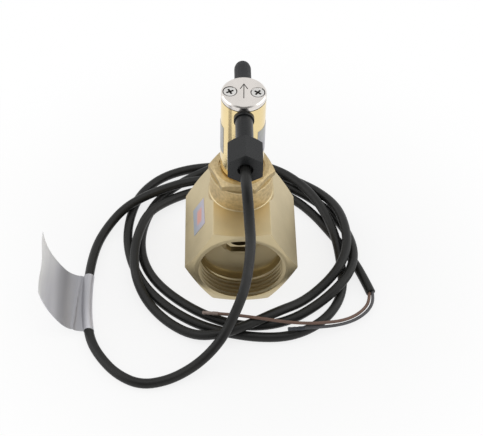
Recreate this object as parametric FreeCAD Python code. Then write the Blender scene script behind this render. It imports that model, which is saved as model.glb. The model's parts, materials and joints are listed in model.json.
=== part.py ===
"""Paddle flow switch with a hexagonal brass body, a round switch head and its cable.

Millimetres. +Z is up and +Y is the direction of flow. The origin is on the flat that the body
rests on, under the middle of the body. The water side is the body, the adapter and the lower
part of the head tube, where a lever carries the blade below its pivot and a magnet above it.
The dry side, above the separator, holds the reed switch on a carriage that the adjusting screw
moves along Y.
"""
import FreeCAD
import Part
import math
import os
from FreeCAD import Vector

X = Vector(1, 0, 0)
Y = Vector(0, 1, 0)
Z = Vector(0, 0, 1)

# Body: hexagonal bar size, with a female pipe thread at each end
BODY_FLATS = 46.0
BODY_LENGTH = 48.5
FACE_RING_R = 22.1          # outer radius of the turned end face
FACE_CHAMFER_DEG = 22.0
PORT_R = 19.475             # minor radius of the G 1 1/4 thread
PORT_DEPTH = 14.8
PORT_MOUTH = 0.6            # chamfer at the mouth of each port
WEB_RIM_R = 18.6            # ledge where the port bore ends
WEB_EYE_R = 9.5             # flat round the window
WEB_DISH = 3.4              # depth of the dish in front of the window
WEB_THICKNESS = 3.2
WINDOW_WIDTH = 13.0
WINDOW_HEIGHT = 16.0
WINDOW_CORNER = 2.0
CHAMBER_R = 18.0
CHAMBER_BREAK = 3.0         # how far the head bore reaches into the top of the chamber

# Boss and adapter
HEAD_Y = 6.5                # the head stands behind the web
BOSS_R = 14.7
BOSS_TOP = 57.5
BOSS_EDGE = 0.5
SPIGOT_R = 9.9              # pitch radius of the adapter's thread
SPIGOT_LENGTH = 11.5
SPIGOT_TIP = 0.8
COLLAR_FLATS = 27.0
COLLAR_HEIGHT = 3.9
COLLAR_TURN_DEG = -7.0
COLLAR_TOP_R = 12.7         # round land above the turned corners
COLLAR_CHAMFER_DEG = 30.0
WET_BORE_R = 6.5
O_RING_SECTION = 1.2
O_RING_R = 11.4             # middle of the adapter's O-ring
GROOVE_SIDE = 0.1

# Head tube, separator, cap
TUBE_R = 10.0
TUBE_WALL = 1.0
TUBE_SEAT = 2.0             # how deep the tube sits in the collar
SEAT_RELIEF = 0.8           # width and depth of the ring cut round the tube
TUBE_TOP = 104.0
GASKET_THICKNESS = 0.4
GASKET_INSET = 0.25
CAP_THICKNESS = 2.6
CAP_BEVEL = 0.6
CAP_TURN_DEG = -3.0
SCREW_INSET = 3.9           # screw axis inside the cap's edge
SCREW_TURNS_DEG = (25.0, 52.0)
SCREW_R = 1.5
SCREW_HEAD_R = 2.8
SCREW_LENGTH = 10.0
SCREW_SINK = 0.12           # head below the cap's face
SCREW_RING = 0.45           # width and depth of the ring cut round each head
RECESS_LENGTH = 3.5
RECESS_WIDTH = 0.95
RECESS_DEPTH = 1.0
ARROW_TAIL = -4.0
ARROW_TIP = 5.1
ARROW_BARB_X = 1.6
ARROW_BARB_Y = 3.1
ARROW_WIDTH = 0.4
ARROW_DEPTH = 0.25
SEPARATOR_DROP = 20.0       # its underside below the tube's top
SEPARATOR_HEIGHT = 4.5
SEPARATOR_RING_SECTION = 1.2

# Lever, blade and pivot
PIVOT_Z = 50.5
PIN_R = 1.25
PIN_INSET = 0.4
RUNNING_GAP = 0.05
HUB_R = 3.0
HUB_HALF = 3.4
BUSH_R = 2.2
SIDE_PLAY = 0.12
ROD_R = 1.5
TONGUE_WIDTH = 8.0
TONGUE_THICKNESS = 2.0
TONGUE_LENGTH = 16.5        # below the pivot
TONGUE_NECK = 2.6           # the tongue starts this far below the pivot
BLADE_WIDTH = 12.0
BLADE_THICKNESS = 1.0
BLADE_BOTTOM = 7.2
BLADE_TOP_GAP = 5.5         # below the pivot
BLADE_SCREW_R = 1.25
BLADE_SCREW_HEAD_R = 2.3
BLADE_SCREW_HEAD = 1.4
BLADE_SCREW_PITCH = 6.0
BLADE_SCREW_DROP = 8.0      # upper screw below the pivot
HOLDER_R = 3.0
HOLDER_GAP = 2.5            # under the separator
HOLDER_HEIGHT = 8.0
HOLDER_SOCKET = 3.0
MAGNET_R = 2.0
MAGNET_HEIGHT = 3.6
RETURN_MAGNET_R = 1.8
RETURN_MAGNET_HEIGHT = 2.0
RETURN_MAGNET_Y = 4.0

# Dry end: block, board, carriage and reed switch
BOARD_THICKNESS = 1.2
PORTS_DROP = 4.0            # gland and adjusting screw below the tube's top
CARRIAGE_SIDE = 5.0         # left beside it, up to the tube
CARRIAGE_ENDS = 3.8         # left before and behind it
CARRIAGE_HEIGHT = 12.6
CARRIAGE_FLOOR = 1.3        # block left under the carriage
CARRIAGE_TRAVEL = 1.2
CARRIAGE_GAP = 0.1
REED_R = 1.2
REED_INSET = 0.7            # glass inside each end of the carriage
REED_RISE = 2.4             # middle of the reed above the carriage's base
REED_WALL = 0.3
CONTACT_WIDTH = 1.0
CONTACT_THICKNESS = 0.2
CONTACT_OVERLAP = 1.0
CONTACT_GAP = 0.15
CONTACT_LEAD = 0.6          # lead beyond each end of the glass
LEAD_R = 0.45
LEAD_OFFSET = 1.1           # each core end beside the middle

# Adjusting screw, its bush and its rubber cap
BUSH_OUTER_R = 3.0
BUSH_INSIDE = 1.8           # inwards from the tube's face
BUSH_OUTSIDE = 5.4
BUSH_FLANGE_R = 3.8
BUSH_FLANGE = 0.9
BUSH_NECK = 1.3
DRIVE_R = 2.0               # screw's slotted end
DRIVE_RECESS = 1.0
DRIVE_SLOT_WIDTH = 0.7
DRIVE_SLOT_DEPTH = 1.2
SPINDLE_R = 1.5
SPINDLE_REACH = 6.0         # inside the carriage
CLIP_R = 2.5
CLIP_THICKNESS = 0.6
CLIP_OPENING = 1.6
CAP_SHELL_R = 3.8
BULLET_REACH = 16.5         # from the tube's face
BULLET_STRAIGHT = 11.2
BULLET_BEND = (0.78, 0.62)  # middle of the nose, as shares of its radius and length
NUB_R = 0.9
NUB_LENGTH = 1.2
FIT_GAP = 0.05
CAP_END_GAP = 0.2

# Cable gland
GLAND_SPIGOT_R = 3.2
GLAND_SPIGOT = 2.6          # inside the tube
GLAND_COLLAR_R = 4.5
GLAND_COLLAR = 1.3
GLAND_BARREL_R = 3.9
GLAND_THREAD_R = 4.6
GLAND_BARREL = 17.0         # outside the tube
GLAND_THREADED = 8.6
GLAND_BORE_R = 2.45
NUT_FLATS = 14.8
NUT_OVERLAP = 0.7           # back of the nut over the barrel
NUT_LENGTH = 14.5
NUT_TURN_DEG = 30.0         # a corner on top
NUT_SHOULDER = 2.6
NUT_SHOULDER_R = 4.9
NUT_EDGE = 0.3
NUT_CORNER = 0.2            # full corners kept beyond the shoulder's cone
NUT_MOUTH_R = 3.4
NUT_LIP = 2.2
SEAL_LENGTH = 3.0

# Cable
CABLE_R = 2.3
CORE_R = 0.75
FERRULE_R = 0.95
FERRULE_LENGTH = 8.0
CORNER_SHARE = 0.45         # of the shorter run, taken by each arc of a route

# Labels
FOIL_THICKNESS = 0.12
FOIL_DROP = 10.0            # its lower edge under the separator
FOIL_HEIGHT = 16.0
FOIL_START_DEG = -50.0      # from +X, turning by way of +Y
FOIL_SWEEP_DEG = 260.0
STICKER_WIDTH = 10.0
STICKER_LENGTH = 17.0
STICKER_Y = -1.5
STICKER_RISE = 13.6         # its middle, up the slope from the body's corner
STICKER_TURN_DEG = 4.0
FLAG_WRAP = 0.25            # film round the cable
FLAG_THICKNESS = 0.3        # two films stuck together
FLAG_CORNERS = (18, 19)     # the film wraps the cable round these two route points
FLAG_FRONT = -44.6
FLAG_BACK = -11.6
FLAG_ROOT_X = -75.2
FLAG_CURL_R = 11.0          # next to the cable
FLAG_CURL_DEG = 60.0
FLAG_SWEEP_R = 58.0         # out to the free edge
FLAG_SWEEP_DEG = 28.0

# Worked out from the sizes above
AXIS_Z = BODY_FLATS / 2
COLLAR_TOP = BOSS_TOP + COLLAR_HEIGHT
PORTS_Z = TUBE_TOP - PORTS_DROP
SEPARATOR_BOTTOM = TUBE_TOP - SEPARATOR_DROP
HOLDER_TOP = SEPARATOR_BOTTOM - HOLDER_GAP
FOIL_BOTTOM = SEPARATOR_BOTTOM - FOIL_DROP
TUBE_BORE_R = TUBE_R - TUBE_WALL
GASKET_TOP = TUBE_TOP + GASKET_THICKNESS
CAP_TOP = GASKET_TOP + CAP_THICKNESS
BOARD_BOTTOM = TUBE_TOP - BOARD_THICKNESS
BLOCK_BOTTOM = SEPARATOR_BOTTOM + SEPARATOR_HEIGHT
CARRIAGE_BOTTOM = BLOCK_BOTTOM + CARRIAGE_FLOOR
REED_Z = CARRIAGE_BOTTOM + REED_RISE
CARRIAGE_WIDTH = 2 * (TUBE_BORE_R - CARRIAGE_SIDE)
CARRIAGE_LENGTH = 2 * (TUBE_BORE_R - CARRIAGE_ENDS)
REED_LENGTH = CARRIAGE_LENGTH - 2 * REED_INSET
SCREW_OFFSET = TUBE_R - SCREW_INSET

# Along the gland and the adjusting screw, from the head's axis
BUSH_INNER_END = TUBE_R - BUSH_INSIDE
BUSH_OUTER_END = TUBE_R + BUSH_OUTSIDE
BULLET_END = TUBE_R + BULLET_REACH
ENTRY_INNER_END = TUBE_R - GLAND_SPIGOT
GLAND_BARREL_END = TUBE_R + GLAND_BARREL
GLAND_BODY_END = GLAND_BARREL_END + GLAND_THREADED
NUT_START = GLAND_BARREL_END - NUT_OVERLAP
SEAL_END = GLAND_BODY_END + SEAL_LENGTH


def at_head(x=0.0, y=0.0, z=0.0):
    """A point given from the head's axis."""
    return Vector(x, HEAD_Y + y, z)


def rod(radius, base, direction, length):
    return Part.makeCylinder(radius, length, base, direction)


def pipe(outer, inner, base, direction, length):
    return rod(outer, base, direction, length).cut(rod(inner, base, direction, length))


def block(x0, x1, y0, y1, z0, z1):
    return Part.makeBox(x1 - x0, y1 - y0, z1 - z0, Vector(x0, y0, z0))


def turned(profile, base, direction):
    """A solid of revolution from (distance along the axis, radius) points."""
    points = [Vector(radius, 0, along) for along, radius in profile]
    face = Part.Face(Part.makePolygon(points + points[:1]))
    solid = face.revolve(Vector(0, 0, 0), Z, 360)
    solid.Placement = FreeCAD.Placement(base, FreeCAD.Rotation(Z, direction))
    return solid


def hexagon(flats, base, direction, length, turn=0.0):
    """A hexagonal bar with two corners on X before it is turned about its axis."""
    corner = flats / math.sqrt(3)
    angles = [math.radians(60 * i + turn) for i in range(6)]
    points = [Vector(corner * math.cos(a), corner * math.sin(a), 0) for a in angles]
    bar = Part.Face(Part.makePolygon(points + points[:1])).extrude(Z * length)
    bar.Placement = FreeCAD.Placement(base, FreeCAD.Rotation(Z, direction))
    return bar


def fused(shapes):
    return shapes[0].multiFuse(shapes[1:]).removeSplitter()


def save(name, shape):
    shape.exportStep("parts/" + name + ".step")
    print("%-18s %3d solid(s) %9.1f mm3" % (name, len(shape.Solids), shape.Volume))


# ---------------------------------------------------------------- body

def port_cutter(direction, dished):
    """The bore of one port, from its face inwards; the front one ends in the dished web."""
    face = Vector(0, 0, AXIS_Z) - direction * (BODY_LENGTH / 2)
    profile = [(0, 0), (0, PORT_R + PORT_MOUTH), (PORT_MOUTH, PORT_R), (PORT_DEPTH, PORT_R)]
    if dished:
        profile += [(PORT_DEPTH, WEB_RIM_R), (PORT_DEPTH + WEB_DISH, WEB_EYE_R)]
        profile += [(PORT_DEPTH + WEB_DISH, 0)]
    else:
        profile += [(PORT_DEPTH, 0)]
    return turned(profile, face, direction)


def window_cutter(y0, y1):
    """The window in the web: a rectangle with its corners cut off."""
    w = WINDOW_WIDTH / 2
    h = WINDOW_HEIGHT / 2
    c = WINDOW_CORNER
    outline = [(-w, -h + c), (-w + c, -h), (w - c, -h), (w, -h + c),
               (w, h - c), (w - c, h), (-w + c, h), (-w, h - c)]
    points = [Vector(x, y0, AXIS_Z + z) for x, z in outline]
    return Part.Face(Part.makePolygon(points + points[:1])).extrude(Y * (y1 - y0))


def make_body():
    half = BODY_LENGTH / 2
    front = Vector(0, -half, AXIS_Z)
    reach = BODY_FLATS / math.sqrt(3) + 1
    rise = (reach - FACE_RING_R) * math.tan(math.radians(FACE_CHAMFER_DEG))
    ends = turned([(0, 0), (0, FACE_RING_R), (rise, reach), (BODY_LENGTH - rise, reach),
                   (BODY_LENGTH, FACE_RING_R), (BODY_LENGTH, 0)], front, Y)
    bar = hexagon(BODY_FLATS, front, Y, BODY_LENGTH).common(ends)
    boss_height = BOSS_TOP - AXIS_Z
    boss = turned([(0, 0), (0, BOSS_R), (boss_height - BOSS_EDGE, BOSS_R),
                   (boss_height, BOSS_R - BOSS_EDGE), (boss_height, 0)], at_head(z=AXIS_Z), Z)
    web_front = -half + PORT_DEPTH + WEB_DISH
    web_back = web_front + WEB_THICKNESS
    chamber = rod(CHAMBER_R, Vector(0, web_back, AXIS_Z), Y, half - PORT_DEPTH - web_back)
    bore_from = AXIS_Z + CHAMBER_R - CHAMBER_BREAK
    head_bore = rod(SPIGOT_R, at_head(z=bore_from), Z, BOSS_TOP - bore_from)
    body = fused([bar, boss])
    body = body.cut(port_cutter(Y, True)).cut(port_cutter(-Y, False))
    return body.cut(chamber).cut(window_cutter(web_front - 1, web_back + 1)).cut(head_bore)


# ---------------------------------------------------------------- adapter and tube

def make_hex_adapter():
    corner = COLLAR_FLATS / math.sqrt(3) + 1
    fall = (corner - COLLAR_TOP_R) * math.tan(math.radians(COLLAR_CHAMFER_DEG))
    land = turned([(0, 0), (0, corner), (COLLAR_HEIGHT - fall, corner),
                   (COLLAR_HEIGHT, COLLAR_TOP_R), (COLLAR_HEIGHT, 0)], at_head(z=BOSS_TOP), Z)
    collar = hexagon(COLLAR_FLATS, at_head(z=BOSS_TOP), Z, COLLAR_HEIGHT, COLLAR_TURN_DEG)
    spigot = turned([(0, 0), (0, SPIGOT_R - SPIGOT_TIP), (SPIGOT_TIP, SPIGOT_R),
                     (SPIGOT_LENGTH, SPIGOT_R), (SPIGOT_LENGTH, 0)],
                    at_head(z=BOSS_TOP - SPIGOT_LENGTH), Z)
    adapter = fused([collar.common(land), spigot])
    adapter = adapter.cut(rod(WET_BORE_R, at_head(z=BOSS_TOP - SPIGOT_LENGTH), Z,
                              SPIGOT_LENGTH + COLLAR_HEIGHT))
    adapter = adapter.cut(rod(TUBE_R, at_head(z=COLLAR_TOP - TUBE_SEAT), Z, TUBE_SEAT))
    adapter = adapter.cut(rod(TUBE_R + SEAT_RELIEF, at_head(z=COLLAR_TOP - SEAT_RELIEF), Z,
                              SEAT_RELIEF))
    width = O_RING_SECTION / 2 + GROOVE_SIDE
    groove = pipe(O_RING_R + width, O_RING_R - width, at_head(z=BOSS_TOP), Z, O_RING_SECTION)
    cross_bore = rod(PIN_R, at_head(x=-SPIGOT_R - 1, z=PIVOT_Z), X, 2 * SPIGOT_R + 2)
    return adapter.cut(groove).cut(cross_bore)


def make_adapter_o_ring():
    section = O_RING_SECTION / 2
    return Part.makeTorus(O_RING_R, section, at_head(z=BOSS_TOP + section), Z)


def make_head_tube():
    bottom = COLLAR_TOP - TUBE_SEAT
    tube = pipe(TUBE_R, TUBE_BORE_R, at_head(z=bottom), Z, TUBE_TOP - bottom)
    tube = tube.cut(rod(GLAND_SPIGOT_R, at_head(z=PORTS_Z), -Y, TUBE_R + 1))
    return tube.cut(rod(BUSH_OUTER_R, at_head(z=PORTS_Z), Y, TUBE_R + 1))


def make_separator():
    """The wall between water and switch, with an O-ring groove and the return magnet's pocket."""
    disc = rod(TUBE_BORE_R, at_head(z=SEPARATOR_BOTTOM), Z, SEPARATOR_HEIGHT)
    middle = SEPARATOR_BOTTOM + SEPARATOR_HEIGHT / 2
    section = SEPARATOR_RING_SECTION
    groove = pipe(TUBE_BORE_R + 1, TUBE_BORE_R - section,
                  at_head(z=middle - section / 2 - GROOVE_SIDE), Z, section + 2 * GROOVE_SIDE)
    pocket = rod(RETURN_MAGNET_R, at_head(y=RETURN_MAGNET_Y, z=BLOCK_BOTTOM), -Z,
                 RETURN_MAGNET_HEIGHT)
    return disc.cut(groove).cut(pocket)


def make_separator_o_ring():
    section = SEPARATOR_RING_SECTION / 2
    middle = SEPARATOR_BOTTOM + SEPARATOR_HEIGHT / 2
    return Part.makeTorus(TUBE_BORE_R - section, section, at_head(z=middle), Z)


def make_return_magnet():
    return rod(RETURN_MAGNET_R, at_head(y=RETURN_MAGNET_Y, z=BLOCK_BOTTOM), -Z,
               RETURN_MAGNET_HEIGHT)


# ---------------------------------------------------------------- cap and its screws

def cap_screw_places():
    turn = math.radians(CAP_TURN_DEG)
    return [(side * SCREW_OFFSET * math.cos(turn), side * SCREW_OFFSET * math.sin(turn))
            for side in (-1, 1)]


def make_cap_gasket():
    gasket = rod(TUBE_R - GASKET_INSET, at_head(z=TUBE_TOP), Z, GASKET_THICKNESS)
    for x, y in cap_screw_places():
        gasket = gasket.cut(rod(SCREW_R, at_head(x, y, TUBE_TOP), Z, GASKET_THICKNESS))
    return gasket


def groove_line(start, end):
    """A round-ended groove of the arrow, cut into the cap's face."""
    run = end - start
    half = ARROW_WIDTH / 2
    low = Vector(0, 0, -ARROW_DEPTH)
    side = Vector(-run.y, run.x, 0).normalize() * half
    corners = [start + side + low, end + side + low, end - side + low, start - side + low]
    bar = Part.Face(Part.makePolygon(corners + corners[:1])).extrude(Z * ARROW_DEPTH)
    ends = [rod(half, point + low, Z, ARROW_DEPTH) for point in (start, end)]
    return fused([bar] + ends)


def arrow_cutter():
    tip = at_head(y=ARROW_TIP, z=CAP_TOP)
    lines = [groove_line(at_head(y=ARROW_TAIL, z=CAP_TOP), tip)]
    for side in (-1, 1):
        barb = at_head(x=side * ARROW_BARB_X, y=ARROW_TIP - ARROW_BARB_Y, z=CAP_TOP)
        lines.append(groove_line(barb, tip))
    arrow = fused(lines)
    arrow.rotate(at_head(), Z, CAP_TURN_DEG / 2)
    return arrow


def make_cap_plate():
    cap = turned([(0, 0), (0, TUBE_R), (CAP_THICKNESS - CAP_BEVEL, TUBE_R),
                  (CAP_THICKNESS, TUBE_R - CAP_BEVEL), (CAP_THICKNESS, 0)],
                 at_head(z=GASKET_TOP), Z)
    ring_r = SCREW_HEAD_R + SCREW_RING
    head = CAP_THICKNESS - SCREW_SINK
    for x, y in cap_screw_places():
        hole = turned([(0, 0), (0, SCREW_R), (head - SCREW_HEAD_R + SCREW_R, SCREW_R),
                       (head - SCREW_RING, SCREW_HEAD_R - SCREW_RING),
                       (head - SCREW_RING, ring_r), (CAP_THICKNESS, ring_r),
                       (CAP_THICKNESS, 0)], at_head(x, y, GASKET_TOP), Z)
        cap = cap.cut(hole)
    return cap.cut(arrow_cutter())


def make_cap_screws():
    """Two countersunk screws with a cross recess."""
    screws = []
    top = CAP_TOP - SCREW_SINK
    cone = SCREW_HEAD_R - SCREW_R
    for (x, y), turn in zip(cap_screw_places(), SCREW_TURNS_DEG):
        screw = turned([(0, 0), (0, SCREW_R), (SCREW_LENGTH - cone, SCREW_R),
                        (SCREW_LENGTH, SCREW_HEAD_R), (SCREW_LENGTH, 0)],
                       at_head(x, y, top - SCREW_LENGTH), Z)
        for angle in (turn, turn + 90):
            slot = block(-RECESS_LENGTH / 2, RECESS_LENGTH / 2, -RECESS_WIDTH / 2,
                         RECESS_WIDTH / 2, -RECESS_DEPTH, 1)
            slot.rotate(Vector(0, 0, 0), Z, angle)
            slot.translate(at_head(x, y, top))
            screw = screw.cut(slot)
        screws.append(screw)
    return Part.makeCompound(screws)


# ---------------------------------------------------------------- lever and blade

def make_paddle_lever():
    hub = rod(HUB_R, at_head(x=-HUB_HALF, z=PIVOT_Z), X, 2 * HUB_HALF)
    stem = rod(ROD_R, at_head(z=PIVOT_Z), Z, HOLDER_TOP - HOLDER_HEIGHT + HOLDER_SOCKET - PIVOT_Z)
    half = TONGUE_WIDTH / 2
    thick = TONGUE_THICKNESS / 2
    foot = PIVOT_Z - TONGUE_LENGTH
    tongue = block(-half, half, HEAD_Y - thick, HEAD_Y + thick, foot + half,
                   PIVOT_Z - TONGUE_NECK)
    rounded = rod(half, at_head(y=-thick, z=foot + half), Y, TONGUE_THICKNESS)
    lever = fused([hub, stem, tongue, rounded])
    lever = lever.cut(rod(PIN_R + RUNNING_GAP, at_head(x=-HUB_HALF, z=PIVOT_Z), X, 2 * HUB_HALF))
    for z in blade_screw_heights():
        lever = lever.cut(rod(BLADE_SCREW_R, at_head(y=-thick, z=z), Y, TONGUE_THICKNESS))
    return lever


def blade_screw_heights():
    upper = PIVOT_Z - BLADE_SCREW_DROP
    return [upper, upper - BLADE_SCREW_PITCH]


def make_paddle_blade():
    """The plate that the flow pushes, with a round foot, on the upstream side of the tongue."""
    half = BLADE_WIDTH / 2
    back = -TONGUE_THICKNESS / 2
    front = back - BLADE_THICKNESS
    top = PIVOT_Z - BLADE_TOP_GAP
    plate = block(-half, half, HEAD_Y + front, HEAD_Y + back, BLADE_BOTTOM + half, top)
    foot = rod(half, at_head(y=front, z=BLADE_BOTTOM + half), Y, BLADE_THICKNESS)
    blade = fused([plate, foot])
    for z in blade_screw_heights():
        blade = blade.cut(rod(BLADE_SCREW_R, at_head(y=front, z=z), Y, BLADE_THICKNESS))
    return blade


def make_blade_screws():
    front = -TONGUE_THICKNESS / 2 - BLADE_THICKNESS
    length = TONGUE_THICKNESS + BLADE_THICKNESS
    screws = []
    for z in blade_screw_heights():
        shank = rod(BLADE_SCREW_R, at_head(y=front, z=z), Y, length)
        head = rod(BLADE_SCREW_HEAD_R, at_head(y=front, z=z), -Y, BLADE_SCREW_HEAD)
        slot = block(-BLADE_SCREW_HEAD_R, BLADE_SCREW_HEAD_R,
                     HEAD_Y + front - BLADE_SCREW_HEAD, HEAD_Y + front - BLADE_SCREW_HEAD / 2,
                     z - RECESS_WIDTH / 2, z + RECESS_WIDTH / 2)
        screws.append(fused([shank, head]).cut(slot))
    return Part.makeCompound(screws)


def make_pivot_pin():
    half = SPIGOT_R - PIN_INSET
    return rod(PIN_R, at_head(x=-half, z=PIVOT_Z), X, 2 * half)


def make_pivot_bushes():
    """A spacer on each side of the hub, up to the wall of the wet bore."""
    inner = HUB_HALF + SIDE_PLAY
    outer = math.sqrt(WET_BORE_R ** 2 - BUSH_R ** 2)
    bushes = [pipe(BUSH_R, PIN_R, at_head(x=side * inner, z=PIVOT_Z), X * side, outer - inner)
              for side in (-1, 1)]
    return Part.makeCompound(bushes)


def make_magnet_holder():
    bottom = HOLDER_TOP - HOLDER_HEIGHT
    holder = turned([(0, 0), (0, HOLDER_R - 1), (1, HOLDER_R), (HOLDER_HEIGHT, HOLDER_R),
                     (HOLDER_HEIGHT, 0)], at_head(z=bottom), Z)
    holder = holder.cut(rod(ROD_R, at_head(z=bottom), Z, HOLDER_SOCKET))
    return holder.cut(rod(MAGNET_R, at_head(z=HOLDER_TOP), -Z, MAGNET_HEIGHT))


def make_lever_magnet():
    return rod(MAGNET_R, at_head(z=HOLDER_TOP), -Z, MAGNET_HEIGHT)


# ---------------------------------------------------------------- dry end

def make_contact_block():
    top = BOARD_BOTTOM
    body = rod(TUBE_BORE_R, at_head(z=BLOCK_BOTTOM), Z, top - BLOCK_BOTTOM)
    half_width = CARRIAGE_WIDTH / 2 + CARRIAGE_GAP
    half_length = CARRIAGE_LENGTH / 2 + CARRIAGE_TRAVEL + CARRIAGE_GAP
    channel = block(-half_width, half_width, HEAD_Y - half_length, HEAD_Y + half_length,
                    CARRIAGE_BOTTOM - CARRIAGE_GAP, top)
    body = body.cut(channel)
    for x, y in cap_screw_places():
        depth = SCREW_LENGTH - (CAP_TOP - SCREW_SINK - top)
        body = body.cut(rod(SCREW_R, at_head(x, y, top), -Z, depth))
    body = body.cut(rod(BUSH_OUTER_R, at_head(z=PORTS_Z), Y, TUBE_BORE_R + 1))
    return body.cut(rod(GLAND_SPIGOT_R, at_head(z=PORTS_Z), -Y, TUBE_BORE_R + 1))


def make_terminal_board():
    """Round board over the block, cleared for the cap screws, the bush and the gland."""
    board = rod(TUBE_BORE_R, at_head(z=BOARD_BOTTOM), Z, BOARD_THICKNESS)
    for x, y in cap_screw_places():
        board = board.cut(rod(SCREW_R, at_head(x, y, BOARD_BOTTOM), Z, BOARD_THICKNESS))
    board = board.cut(rod(BUSH_OUTER_R, at_head(y=BUSH_INNER_END, z=PORTS_Z), Y, TUBE_R))
    return board.cut(rod(GLAND_SPIGOT_R, at_head(y=-ENTRY_INNER_END, z=PORTS_Z), -Y, TUBE_R))


def make_reed_carrier():
    half_width = CARRIAGE_WIDTH / 2
    half_length = CARRIAGE_LENGTH / 2
    carrier = block(-half_width, half_width, HEAD_Y - half_length, HEAD_Y + half_length,
                    CARRIAGE_BOTTOM, CARRIAGE_BOTTOM + CARRIAGE_HEIGHT)
    carrier = carrier.cut(rod(REED_R, at_head(y=-half_length, z=REED_Z), Y, CARRIAGE_LENGTH))
    return carrier.cut(rod(SPINDLE_R + RUNNING_GAP, at_head(y=half_length, z=PORTS_Z), -Y,
                           SPINDLE_REACH + 2 * CARRIAGE_TRAVEL))


def reed_blades():
    """Two flat contacts that overlap in the middle of the glass, each with its round lead."""
    reach = REED_LENGTH / 2
    blades = []
    for side in (-1, 1):
        low = CONTACT_GAP / 2 if side > 0 else -CONTACT_GAP / 2 - CONTACT_THICKNESS
        inner = -side * CONTACT_OVERLAP / 2
        outer = side * (reach - 2 * REED_WALL)
        flat = block(-CONTACT_WIDTH / 2, CONTACT_WIDTH / 2,
                     HEAD_Y + min(inner, outer), HEAD_Y + max(inner, outer),
                     REED_Z + low, REED_Z + low + CONTACT_THICKNESS)
        lead = rod(CONTACT_GAP / 2 + CONTACT_THICKNESS, at_head(y=outer, z=REED_Z), Y * side,
                   2 * REED_WALL + CONTACT_LEAD)
        blades.append(fused([flat, lead]))
    return blades


def make_reed_contacts():
    return Part.makeCompound(reed_blades())


def make_reed_glass():
    start = at_head(y=-REED_LENGTH / 2, z=REED_Z)
    nose = REED_R / 2
    outer = turned([(0, 0), (0, nose), (nose, REED_R), (REED_LENGTH - nose, REED_R),
                    (REED_LENGTH, nose), (REED_LENGTH, 0)], start, Y)
    hollow = rod(REED_R - REED_WALL, at_head(y=-REED_LENGTH / 2 + 2 * REED_WALL, z=REED_Z), Y,
                 REED_LENGTH - 4 * REED_WALL)
    glass = outer.cut(hollow)
    for blade in reed_blades():
        glass = glass.cut(blade)
    return glass


def make_lead_wires():
    """The two core ends that rise from the cable to the board."""
    wires = []
    for side in (-1, 1):
        base = at_head(x=side * LEAD_OFFSET, y=-ENTRY_INNER_END + LEAD_R, z=PORTS_Z)
        wires.append(rod(LEAD_R, base, Z, BOARD_BOTTOM - PORTS_Z))
    return Part.makeCompound(wires)


# ---------------------------------------------------------------- adjusting screw

def make_adjuster_bush():
    """Threaded bush in the tube wall, with a flange outside and a neck for the spindle."""
    length = BUSH_OUTER_END - BUSH_INNER_END
    bush = rod(BUSH_OUTER_R, at_head(y=BUSH_INNER_END, z=PORTS_Z), Y, length)
    flange = rod(BUSH_FLANGE_R, at_head(y=TUBE_BORE_R, z=PORTS_Z), Y, TUBE_WALL + BUSH_FLANGE)
    outside = flange.cut(rod(TUBE_R, at_head(z=COLLAR_TOP), Z, TUBE_TOP - COLLAR_TOP))
    bush = fused([bush, outside])
    bush = bush.cut(rod(SPINDLE_R + RUNNING_GAP, at_head(z=PORTS_Z), Y, BUSH_OUTER_END))
    return bush.cut(rod(DRIVE_R + RUNNING_GAP, at_head(y=BUSH_INNER_END + BUSH_NECK, z=PORTS_Z),
                        Y, BUSH_OUTER_END))


def make_adjusting_screw():
    inner = CARRIAGE_LENGTH / 2 - SPINDLE_REACH
    shoulder = BUSH_INNER_END + BUSH_NECK + SIDE_PLAY
    outer = BUSH_OUTER_END - DRIVE_RECESS
    spindle = rod(SPINDLE_R, at_head(y=inner, z=PORTS_Z), Y, shoulder - inner)
    drive = rod(DRIVE_R, at_head(y=shoulder, z=PORTS_Z), Y, outer - shoulder)
    slot = block(-DRIVE_R, DRIVE_R, HEAD_Y + outer - DRIVE_SLOT_DEPTH, HEAD_Y + outer,
                 PORTS_Z - DRIVE_SLOT_WIDTH / 2, PORTS_Z + DRIVE_SLOT_WIDTH / 2)
    return fused([spindle, drive]).cut(slot)


def make_screw_clip():
    """Snap ring on the spindle, just inside the bush."""
    start = BUSH_INNER_END - SIDE_PLAY - CLIP_THICKNESS
    ring = pipe(CLIP_R, SPINDLE_R, at_head(y=start, z=PORTS_Z), Y, CLIP_THICKNESS)
    return ring.cut(block(-CLIP_OPENING / 2, CLIP_OPENING / 2, HEAD_Y + start,
                          HEAD_Y + start + CLIP_THICKNESS, PORTS_Z, PORTS_Z + CLIP_R))


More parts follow.
